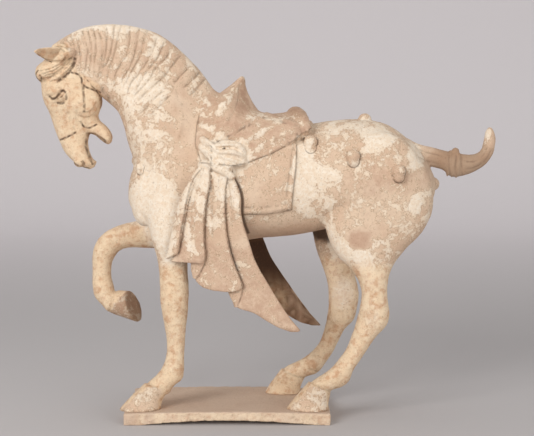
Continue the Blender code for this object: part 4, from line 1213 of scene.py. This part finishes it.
def make_trappings(flesh):
    """Knots, bosses and the tail's wrapping, set on the skin."""
    tree = BVHTree.FromObject(flesh, bpy.context.evaluated_depsgraph_get())
    pieces = []
    for side in (NEAR, FAR):
        for k, path in enumerate(KNOT):
            points = []
            for x, z, out, radius in path:
                x, z = swung(x, z, side)
                points.append((x, side * out, z, radius))
            pieces += roll(f"knot_{k}", points)
        for x, z, size in BOSSES:
            out = side * (flank(tree, x, z, side) + BOSS_PROUD * size)
            low = z - size * BOSS_DROP
            for part, up, radii in (("boss", z, BOSS_RADII), ("boss_tip", low, BOSS_TIP)):
                pieces.append(lump(part, (x, out, up), [size * reach for reach in radii]))
    for x, y, z in MIDLINE_BOSSES:
        pieces.append(lump("boss", (x, y, z), (BOSS_REACH, BOSS_REACH, BOSS_REACH)))
    pieces.append(lump("tail_knot", TAIL_KNOT, TAIL_KNOT_RADII))
    for x, z in TAIL_WRAPS:
        pieces.append(lump("wrap", (x, 0, z), TAIL_WRAP_RADII, TAIL_WRAP_TILT))
    return pieces


def eased(paths):
    """The paths as smooth curves."""
    return [smooth_rows([(x, z, 0, 0, 0, 0) for x, z in path])[:, :2] for path in paths]


def saddled(flesh):
    """The flesh with the saddle, its cover and the square flap under it."""
    saddled_body = merged("saddled_body", [flesh] + make_saddle(), SADDLE_VOXEL, SADDLE_SOFTENING)
    outer_shell(saddled_body)
    raise_panel(saddled_body, FLAP, FLAP_RISE)
    raise_panel(saddled_body, COVER, COVER_RISE, COVER_FADE)
    for paths, width, depth, _ in SADDLE_MARKS:
        stroke(saddled_body, paths, width, depth)
    return saddled_body


def carve(horse):
    """Grooves and ridges that a tool left in the clay."""
    stroke(horse, eased(MANE_GROOVES), *MANE_MARK[:2])
    stroke(horse, eased(FORELOCK_GROOVES + POLL_GROOVES), *LOCK_MARK[:2], wrap=LOCK_WRAP)
    for paths, width, depth, _ in MARKS:
        stroke(horse, eased(paths), width, depth)
    stroke(horse, [BREAST_STRAP], *STRAP_MARK)
    stroke(horse, [ARMPIT], *ARMPIT_MARK, side=NEAR)


def waves(place, span, fading=0.8, finer=2.1, layers=3):
    """Uneven waves of this span, with finer ones over them, at each place."""
    return np.array([noise.fractal(Vector(p / span), fading, finer, layers) for p in place])


def hand_worked(thing):
    """Gives clay the slight unevenness of a surface smoothed by hand."""
    place, normal = vertices_of(thing)
    move_vertices(thing, place + normal * (HAND_HEIGHT * waves(place, HAND_SPAN))[:, None])


def slab_top(x):
    """Height of the slab's top, which is bowed up between its ends."""
    reach = min(abs(x - PLINTH_CENTRE_X) / (PLINTH_LENGTH / 2), 1)
    return PLINTH_THICKNESS + PLINTH_CROWN * (1 - reach**2)


def slab_foot(x):
    """Height of the slab's underside: flat under the ends, arched between them."""
    reach = abs(x - PLINTH_CENTRE_X) / (PLINTH_LENGTH / 2 - PLINTH_FOOT)
    return PLINTH_ARCH * max(1 - reach**2, 0)


def strip_block(name, xs, low, high, half_width):
    """A block whose underside and top follow two curves along X."""
    bm = bmesh.new()
    corners = []
    for x in xs:
        spots = ((-half_width, low(x)), (half_width, low(x)), (half_width, high(x)), (-half_width, high(x)))
        corners.append([bm.verts.new((x, y, z)) for y, z in spots])
    for a, b in zip(corners, corners[1:]):
        for k in range(len(a)):
            n = (k + 1) % len(a)
            bm.faces.new((a[k], a[n], b[n], b[k]))
    bm.faces.new(corners[0])
    bm.faces.new(corners[-1])
    return mesh_object(name, bm)


def make_slab():
    """The slab: a warped tile with worn, chipped edges."""
    half_long, half_wide = PLINTH_LENGTH / 2, PLINTH_WIDTH / 2
    xs = PLINTH_CENTRE_X + np.linspace(-half_long, half_long, SLAB_STEPS)
    block = strip_block("slab_core", xs, slab_foot, slab_top, half_wide)
    slab = merged("slab", [block], SLAB_VOXEL, SLAB_SOFTENING)
    place = np.array([v.co for v in slab.data.vertices])
    normal = np.array([v.normal for v in slab.data.vertices])
    worn = np.clip(waves(place, SLAB_WEAR_SPAN, *SLAB_WAVES) + WEAR_BIAS, 0, 1)
    from_end = half_long - np.abs(place[:, 0] - PLINTH_CENTRE_X)
    from_side = half_wide - np.abs(place[:, 1])
    rim = 1 - np.clip(np.minimum(from_end, from_side) / RIM_REACH, 0, 1)
    place -= normal * (worn * (SLAB_WEAR + RIM_WEAR * rim))[:, None]
    place = np.clip(place, np.array(PLINTH_LOW), np.array(PLINTH_HIGH))
    slab.data.vertices.foreach_set("co", place.ravel())
    slab.data.update()
    return slab


def stand_on(horse):
    """Cuts the hooves level with the slab's top."""
    xs = np.linspace(PLINTH_CENTRE_X - PLINTH_LENGTH, PLINTH_CENTRE_X + PLINTH_LENGTH, GROUND_STEPS)
    ground = strip_block(
        "ground", xs, lambda x: -PLINTH_THICKNESS, lambda x: slab_top(x) + HOOF_GAP, PLINTH_WIDTH
    )
    cut = horse.modifiers.new("soles", "BOOLEAN")
    cut.solver = "EXACT"
    cut.object = ground
    applied(horse)
    bpy.data.objects.remove(ground)


def thinned(thing, triangles):
    """The skin with about this many triangles, kept where it is carved or painted finely."""
    points = vertices_of(thing)[0][:, (0, 2)]
    keep = np.zeros(len(points))
    for paths, width, _, soil_and_shade in MARKS:
        if soil_and_shade > FINE_SOIL:
            for path in eased(paths):
                keep = np.maximum(keep, closeness(points, path, width + FINE_BESIDE, FINE_END) > 0)
    keep = np.maximum(keep, closeness(points, CLOTH_GAP, FINE_GAP, FINE_END) > 0)
    for x, z, size in BOSSES:
        away = np.hypot(points[:, 0] - x, points[:, 1] - z + BOSS_DROP / 2)
        keep = np.maximum(keep, away < FINE_BOSS * size)
    weight = 1 - HEAD_KEPT * ramp(depth_inside(points, HEAD_REGION) / HEAD_FADE)
    weight[keep > 0] = 0
    group = thing.vertex_groups.new(name="plain")
    for step in range(1, WEIGHT_STEPS + 1):
        index = np.nonzero(np.abs(weight - step / WEIGHT_STEPS) <= 0.5 / WEIGHT_STEPS)[0]
        group.add(index.tolist(), step / WEIGHT_STEPS, "REPLACE")
    fewer = thing.modifiers.new("fewer", "DECIMATE")
    count = sum(len(face.vertices) - 2 for face in thing.data.polygons)
    fewer.ratio = min(triangles / count, 1)
    fewer.vertex_group = "plain"
    fewer.use_collapse_triangulate = True
    return applied(thing)


def hollowness(thing, rounds):
    """How hollow the skin is at each vertex, in 1/mm, averaged over its neighbours."""
    place, normal = vertices_of(thing)
    edges = np.empty(len(thing.data.edges) * 2, int)
    thing.data.edges.foreach_get("vertices", edges)
    a, b = edges.reshape(-1, 2).T
    span = place[b] - place[a]
    square = np.einsum("ij,ij->i", span, span) + TINY
    total, count = np.zeros(len(place)), np.zeros(len(place))
    for here, sign in ((a, 1), (b, -1)):
        bend = 2 * sign * np.einsum("ij,ij->i", normal[here], span) / square
        np.add.at(total, here, bend * square)
        np.add.at(count, here, square)
    hollow = total / np.maximum(count, TINY)
    for _ in range(rounds):
        total, count = hollow.copy(), np.ones(len(place))
        np.add.at(total, a, hollow[b])
        np.add.at(total, b, hollow[a])
        np.add.at(count, a, 1)
        np.add.at(count, b, 1)
        hollow = total / count
    return hollow


def patches(points, table):
    """The sum of soft oval patches in the side view."""
    total = np.zeros(len(points))
    for x, z, wide, high, strength in table:
        away = np.hypot((points[:, 0] - x) / wide, (points[:, 1] - z) / high)
        total += strength * ramp(PATCH_REACH - away)
    return total


def write_layer(thing, name, value):
    layer = thing.data.attributes.new(name, "FLOAT", "POINT")
    layer.data.foreach_set("value", np.clip(value, 0, 1).astype(np.float32))


def lined(points, paths, width):
    """How close points are to the nearest of some painted or rubbed lines."""
    share = np.zeros(len(points))
    for path in paths:
        share = np.maximum(share, closeness(points, path, width, LINE_END))
    return share


def inside(points, outline, edge=2.0):
    """1 inside an outline in the side view, 0 outside."""
    return ramp(depth_inside(points, outline) / edge + 0.5)


def figure_parts(points, place, normal):
    """The parts of the figure that layers lie on, each as a share from 0 to 1 at every point."""
    out = np.abs(place[:, 1])
    x, z = points.T
    inward = normal[:, 1] * place[:, 1] < 0
    part = {name: inside(points, region, edge) for name, region, edge in PART_REGIONS}
    part["all"] = 1
    part["flap"] *= 1 - part["cover"]
    part["cloth"] *= rising(out, *CLOTH_OUT)
    part["knot"] *= out > KNOT_OUT
    part["groin"] *= inward
    leg_top = LEG_TOP + SHOULDER_HIGHER * rising(x, *SHOULDER_FROM)
    part["legs"] = rising(z, leg_top, LEG_FADE) * (out < LEG_OUT)
    lining = (out > LINING_OUT) & (z < LINING_TOP) & inward
    part["inside cloth"] = lining & (np.abs(normal[:, 1]) > LINING_FACING)
    part["cloth upper"] = rising(z, *CLOTH_HIGH) * part["cloth"]
    part["cloth lower"] = rising(z, *CLOTH_LOW) * part["cloth"]
    for name, paths, width, under in STREAKS:
        part[name] = lined(points, eased(paths), width) * part[under]
    return part


def by_part(part, shares):
    """What the parts add up to, each by its share."""
    return sum(share * part[name] for name, share in shares.items())


def soiled_and_shaded(horse, points, part, lining):
    """Where soil is held, in carved lines and hollows, and where shade is painted in the soil's colour:
    round the panels, where it is partly soil, in the gap by the cloth, round the ornaments, inside the
    cloths and between the hind legs.
    """
    place, normal = vertices_of(horse)
    out = np.abs(place[:, 1])
    wear = np.array([noise.noise(Vector(p / WORN_SPAN)) for p in place])
    soil_and_shade = np.zeros(len(place))
    hair = [(MANE_GROOVES, *MANE_MARK), (FORELOCK_GROOVES + POLL_GROOVES, *LOCK_MARK)]
    for paths, width, _, held in SADDLE_MARKS + MARKS + hair:
        if held:
            soil_and_shade = np.maximum(soil_and_shade, held * lined(points, eased(paths), width))
    soil_and_shade *= rising(np.abs(normal[:, 1]), *LINE_FACING)
    soil_and_shade *= LINE_KEPT + (1 - LINE_KEPT) * rising(wear, *LINE_WORN)
    hollow = rising(hollowness(horse, rounds=2), *HOLLOW_SOILED)
    soil_and_shade = np.maximum(soil_and_shade, hollow * (HOLLOW_SOIL - KNOT_CLEANER * part["knot"]))
    # Round the flap and the cover the soil colour is partly soil and partly painted shadow of their edges.
    away = np.minimum(np.abs(depth_inside(points, FLAP)), np.abs(depth_inside(points, COVER)))
    on_saddle = (points[:, 0] > SADDLE_FROM) & (out > SADDLE_OUT) & (points[:, 1] < SADDLE_TOP)
    soil_and_shade = np.maximum(soil_and_shade, PANEL_SOIL_AND_SHADOW * rising(away, *PANEL_EDGE) * on_saddle * rising(wear, *PANEL_WORN))
    # Painted shade in the deep gap between the cloth and the flank.
    soil_and_shade = np.maximum(soil_and_shade, GAP_SHADE_PAINT * lined(points, eased([CLOTH_GAP]), GAP_WIDTH) * (out < GAP_OUT))
    # Painted shadow round the rims of the ornaments, on their lower right sides.
    for x, z, size in BOSSES:
        across, up = (points[:, 0] - x) / size, (points[:, 1] - z) / size
        tip = np.hypot(across / BOSS_TIP[0], (up + BOSS_DROP) / BOSS_TIP[2])
        away = np.abs(np.minimum(np.hypot(across, up) / BOSS_REACH, tip) - BOSS_RIM)
        soil_and_shade = np.maximum(soil_and_shade, BOSS_SHADOW_PAINT * rising(away, *RIM_EDGE) * rising(across - up, *RIM_SHADED))
    # Inside the hanging cloths the soil colour is painted shade.
    soil_and_shade = np.maximum(soil_and_shade, np.where(part["inside cloth"], lining, 0))
    # Painted shade between the hind legs, in the soil's colour.
    return np.maximum(soil_and_shade, GROIN_SHADE_PAINT * part["groin"])


def paint(horse):
    """Writes where the slip, the pigment, the cream wash and the soil lie, and where shade is painted in the
    soil's colour.
    """
    place, normal = vertices_of(horse)
    points = place[:, (0, 2)]
    part = figure_parts(points, place, normal)
    # Inside the cloths the painted shade fades towards the top and the foot, and the earth there thins
    # unevenly towards the foot.
    low, top = rising(points[:, 1], *LINING_LOW), rising(points[:, 1], *LINING_HIGH)
    blotch = waves(place, STAIN_SPAN)
    less_shade, less_earth = (low * (even + uneven * blotch) for even, uneven in (FOOT_SHADE, FOOT_EARTH))
    soil_and_shade = soiled_and_shaded(horse, points, part, 1 - LINING_TOP_LIGHTER * top - less_shade)
    earth = patches(points, EARTH_PATCHES)
    for region, strength in EARTH_REGIONS:
        earth = np.maximum(earth, strength * inside(points, region))
    earth = np.maximum(earth, by_part(part, EARTH_SHARES))
    earth = np.where(part["inside cloth"], 1 - less_earth, earth)
    named = patches(points, SLIP_PATCHES)
    slip = PLAIN_SLIP + PATCH_SLIP * named * (1 - CLOTH_EVENER * part["cloth"])
    on_cover = COVER_SLIP + COVER_PATCH_SLIP * np.clip(named, 0, 1)
    slip += (on_cover - slip) * part["cover"] + by_part(part, SLIP_SHARES)
    slip *= np.where(part["inside cloth"], LINING_SLIP, 1)
    pigment = PLAIN_PIGMENT + patches(points, PIGMENT_PATCHES) + by_part(part, PIGMENT_SHARES)
    pigment = np.maximum(pigment, inside(points, POMMEL_BACK))
    cream = np.maximum(part["head"], part["legs"]) * (1 - part["cloth"]) * (1 - part["raised hoof"])
    cream *= 1 - patches(points, CREAM_WORN)
    layers = {"slip_left": slip, "pigment_left": pigment, "cream_wash": cream}
    layers.update({"soil_and_shade_held": soil_and_shade, "earth_stain": earth})
    for layer, value in layers.items():
        write_layer(horse, layer, value)


def paint_slab(slab):
    """The slab's top is trodden with earth, and its edges keep their slip."""
    place, normal = vertices_of(slab)
    top = rising(normal[:, 2], *SLAB_TOP_FACING)
    for layer, at_edge, on_top in SLAB_LAYERS:
        write_layer(slab, layer, at_edge + (on_top - at_edge) * top)
    write_layer(slab, "soil_and_shade_held", SLAB_SOIL * rising(hollowness(slab, rounds=1), *SLAB_SOILED))
    stained = patches(place[:, (0, 2)], SLAB_STAINS) * (1 - top)
    write_layer(slab, "earth_stain", EDGE_EARTH + (TOP_EARTH - EDGE_EARTH) * top + stained)


def linear(colour):
    """A hex colour as seen, turned to the linear values that a shader takes."""
    parts = [int(colour[k : k + 2], 16) / 255 for k in (1, 3, 5)]
    return (*[c / 12.92 if c <= 0.04045 else ((c + 0.055) / 1.055) ** 2.4 for c in parts], 1)


def add(tree, kind, settings):
    """Adds a node. A lower-case name is a setting of the node itself. Any other name or number is a socket,
    and what it is given is linked to it, where that is a socket too, or else becomes its value."""
    node = tree.nodes.new(kind)
    for name, value in settings.items():
        if isinstance(name, str) and name.islower():
            setattr(node, name, value)
        elif isinstance(value, bpy.types.NodeSocket):
            tree.links.new(value, node.inputs[name])
        else:
            node.inputs[name].default_value = value
    return node


def fired_clay(name, stain_colour):
    """Low-fired buff earthenware: open and chalky, so it scatters light with hardly a sheen, and its colour
    drifts between buff and warm. Over it lie pink-brown pigment, white slip that has flaked to crisp-edged
    islands, a cream wash, stains and, in the grooves, soil. The soil's dark colour also paints shade and
    shadows, and the dark line along the slip's broken edges is partly painted shadow."""
    made = bpy.data.materials.new(name)
    made.use_nodes = True
    tree = made.node_tree
    skin = tree.nodes["Principled BSDF"]
    where = add(tree, "ShaderNodeTexCoord", {}).outputs["Object"]

    pattern = {}
    for kind, millimetres, detail, rough, swirl in CLAY_PATTERNS:
        settings = {"Vector": where, "Scale": 1 / (millimetres * MILLIMETRE), "Detail": detail}
        settings.update({"Roughness": rough, "Distortion": swirl})
        pattern[kind] = add(tree, "ShaderNodeTexNoise", settings).outputs[0]

    cover = {}
    for layer, kind, low, high, most in LEFT_LAYERS:
        left = add(tree, "ShaderNodeAttribute", {"attribute_name": layer}).outputs["Fac"]
        level = add(tree, "ShaderNodeMath", {"operation": "ADD", 0: left, 1: pattern[kind]}).outputs[0]
        settings = {"interpolation_type": "SMOOTHSTEP", 0: level, 1: low, 2: high, 4: most}
        risen = add(tree, "ShaderNodeMapRange", settings).outputs[0]
        cover[layer] = add(tree, "ShaderNodeMath", {"operation": "MULTIPLY", 0: left, 1: risen}).outputs[0]

    left = add(tree, "ShaderNodeAttribute", {"attribute_name": "slip_left"}).outputs["Fac"]
    settings = {"operation": "MULTIPLY_ADD", 0: left, 1: SLIP_TELLS, 2: SLIP_MIDDLE}
    level = add(tree, "ShaderNodeMath", settings).outputs[0]
    for kind, weight in SLIP_BREAKS:
        settings = {"operation": "MULTIPLY_ADD", 0: pattern[kind], 1: weight, 2: level}
        level = add(tree, "ShaderNodeMath", settings).outputs[0]
    pattern["slip"] = level
    for layer, kind, low, high, most in PATTERN_LAYERS:
        settings = {"interpolation_type": "SMOOTHSTEP", 0: pattern[kind], 1: low, 2: high, 4: most}
        cover[layer] = add(tree, "ShaderNodeMapRange", settings).outputs[0]
    # Dirt has settled along the broken edges of the slip, and the dark line there is partly painted shadow
    # of the flakes' edges.
    settings = {"operation": "COMPARE", 0: level, 1: SLIP_EDGE_AT, 2: SLIP_EDGE_SPAN}
    edge = add(tree, "ShaderNodeMath", settings).outputs[0]
    settings = {"operation": "MULTIPLY", 0: edge, 1: pattern["crumbs"]}
    cover["slip edge dirt and shadow"] = add(tree, "ShaderNodeMath", settings).outputs[0]

    blend = {}
    for kind, under, over, share in (
        ("white", SLIP_WHITE, SLIP_WARM, "warm slip"),
        ("cream", CREAM, CREAM_DEEP, "deep cream"),
        ("body", CLAY_BUFF, CLAY_WARM, "warm body"),
    ):
        settings = {"data_type": "RGBA", 0: cover[share], 6: linear(under), 7: linear(over)}
        blend[kind] = add(tree, "ShaderNodeMix", settings).outputs[2]
    colour = blend["body"]
    for over, share in (
        (linear(PIGMENT), "pigment_left"),
        (linear(SLIP_THIN), "thin slip"),
        (blend["white"], "thick slip"),
        (linear(EARTH), "slip edge dirt and shadow"),
        (blend["cream"], "cream_wash"),
        (linear(stain_colour), "earth_stain"),
        (linear(SOIL_AND_SHADE), "soil_and_shade_held"),
        (linear(EARTH), "specks"),
    ):
        settings = {"data_type": "RGBA", 0: cover[share], 6: colour, 7: over}
        colour = add(tree, "ShaderNodeMix", settings).outputs[2]
    tree.links.new(colour, skin.inputs["Base Color"])

    height = pattern["drift"]
    for source, rise in (
        (cover["thick slip"], SLIP_THICKNESS),
        (pattern["grain"], GRAIN_DEPTH),
        (pattern["crumbs"], CRUMB_DEPTH),
    ):
        settings = {"operation": "MULTIPLY_ADD", 0: source, 1: rise, 2: height}
        height = add(tree, "ShaderNodeMath", settings).outputs[0]
    bump = add(tree, "ShaderNodeBump", {"Strength": 1.0, "Distance": MILLIMETRE, "Height": height})
    tree.links.new(bump.outputs[0], skin.inputs["Normal"])
    skin.inputs["Roughness"].default_value = CLAY_ROUGHNESS
    skin.inputs["Specular IOR Level"].default_value = CLAY_SHEEN
    return made


def matt_paper():
    """Matt grey paper: it throws back an even, colourless light, and is painted paler where it climbs
    behind, as painted light.
    """
    made = bpy.data.materials.new("matt grey paper")
    made.use_nodes = True
    tree = made.node_tree
    where = add(tree, "ShaderNodeTexCoord", {}).outputs["Object"]
    back = add(tree, "ShaderNodeSeparateXYZ", {0: where}).outputs[1]
    settings = {"interpolation_type": "SMOOTHSTEP", 0: back, 1: LIGHT_PAINTED_FROM, 2: LIGHT_PAINTED_TO}
    rise = add(tree, "ShaderNodeMapRange", settings)
    settings = {"data_type": "RGBA", 0: rise.outputs[0], 6: linear(PAPER_FLOOR_SHADED), 7: linear(PAPER_WALL_LIT)}
    skin = tree.nodes["Principled BSDF"]
    tree.links.new(add(tree, "ShaderNodeMix", settings).outputs[2], skin.inputs["Base Color"])
    skin.inputs["Roughness"].default_value = PAPER_ROUGHNESS
    return made


def studio():
    """The camera, a pale sweep of paper, and soft lights from the left and in front."""
    sweep = []
    for t in np.linspace(0, math.pi / 2, SWEEP_STEPS):
        sweep.append((SWEEP_BACK + SWEEP_CURVE * math.sin(t), SWEEP_CURVE * (1 - math.cos(t))))
    profile = [(SWEEP_FRONT, 0.0)] + sweep + [(SWEEP_BACK + SWEEP_CURVE, SWEEP_TOP)]
    bm = bmesh.new()
    left, right = ([bm.verts.new((x, y, z)) for y, z in profile] for x in (-SWEEP_SIDE, SWEEP_SIDE))
    for k in range(len(profile) - 1):
        bm.faces.new((left[k], right[k], right[k + 1], left[k + 1])).smooth = True
    floor = mesh_object("paper_sweep", bm)
    floor.data.materials.append(matt_paper())

    for name, place, size, power, tint in LIGHTS:
        lamp = bpy.data.lights.new(name, "AREA")
        lamp.shape = "DISK"
        lamp.size = size
        lamp.energy = power
        lamp.color = linear(tint)[:3]
        shade = bpy.data.objects.new(name, lamp)
        shade.location = place
        shade.rotation_euler = (Vector(LIGHT_AIM) - Vector(place)).to_track_quat("-Z", "Y").to_euler()
        bpy.context.scene.collection.objects.link(shade)
    world = bpy.data.worlds.new("studio")
    world.use_nodes = True
    world.node_tree.nodes["Background"].inputs[0].default_value = linear(ROOM_LIGHT)
    world.node_tree.nodes["Background"].inputs[1].default_value = ROOM_STRENGTH
    bpy.context.scene.world = world
    bpy.context.scene.view_settings.view_transform = "Standard"

    lens = bpy.data.cameras.new("camera")
    lens.sensor_width = SENSOR_WIDTH * 1000
    lens.lens = SENSOR_WIDTH * 1000 * FOCAL_PIXELS / PHOTO_WIDTH
    camera = bpy.data.objects.new("camera", lens)
    camera.location = CAMERA_AT
    camera.rotation_euler = (math.radians(90 - CAMERA_TILT), 0, 0)
    bpy.context.scene.collection.objects.link(camera)
    bpy.context.scene.camera = camera


def make_horse():
    flesh = saddled(make_flesh())
    pieces = make_trappings(flesh) + make_head() + make_hooves()
    pieces += make_cloth(NEAR) + make_cloth(FAR)
    pieces += [
        body_loft("tail", TAIL, sides=32),
        body_loft("forelock", FORELOCK, sides=40),
        body_loft("poll_tuft", POLL_TUFT, sides=32),
    ]
    horse = merged("horse_figure", [flesh] + pieces, CLAY_VOXEL, CLAY_SOFTENING)
    outer_shell(horse)
    carve(horse)
    hand_worked(horse)
    thinned(horse, HORSE_TRIANGLES)
    stand_on(horse)
    return horse


def main():
    studio()
    horse = make_horse()
    paint(horse)
    slab = make_slab()
    paint_slab(slab)
    for thing, node, slot, clay in (
        (horse, "horse", "horse_clay", fired_clay("fired buff clay with flaked slip", EARTH)),
        (slab, "plinth", "plinth_clay", fired_clay("fired buff clay, trodden and dusty", SLAB_DUST)),
    ):
        thing.data.materials.clear()
        thing.data.materials.append(clay)
        thing.data.polygons.foreach_set("use_smooth", [True] * len(thing.data.polygons))
        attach(thing, "root")
        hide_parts(node)


main()
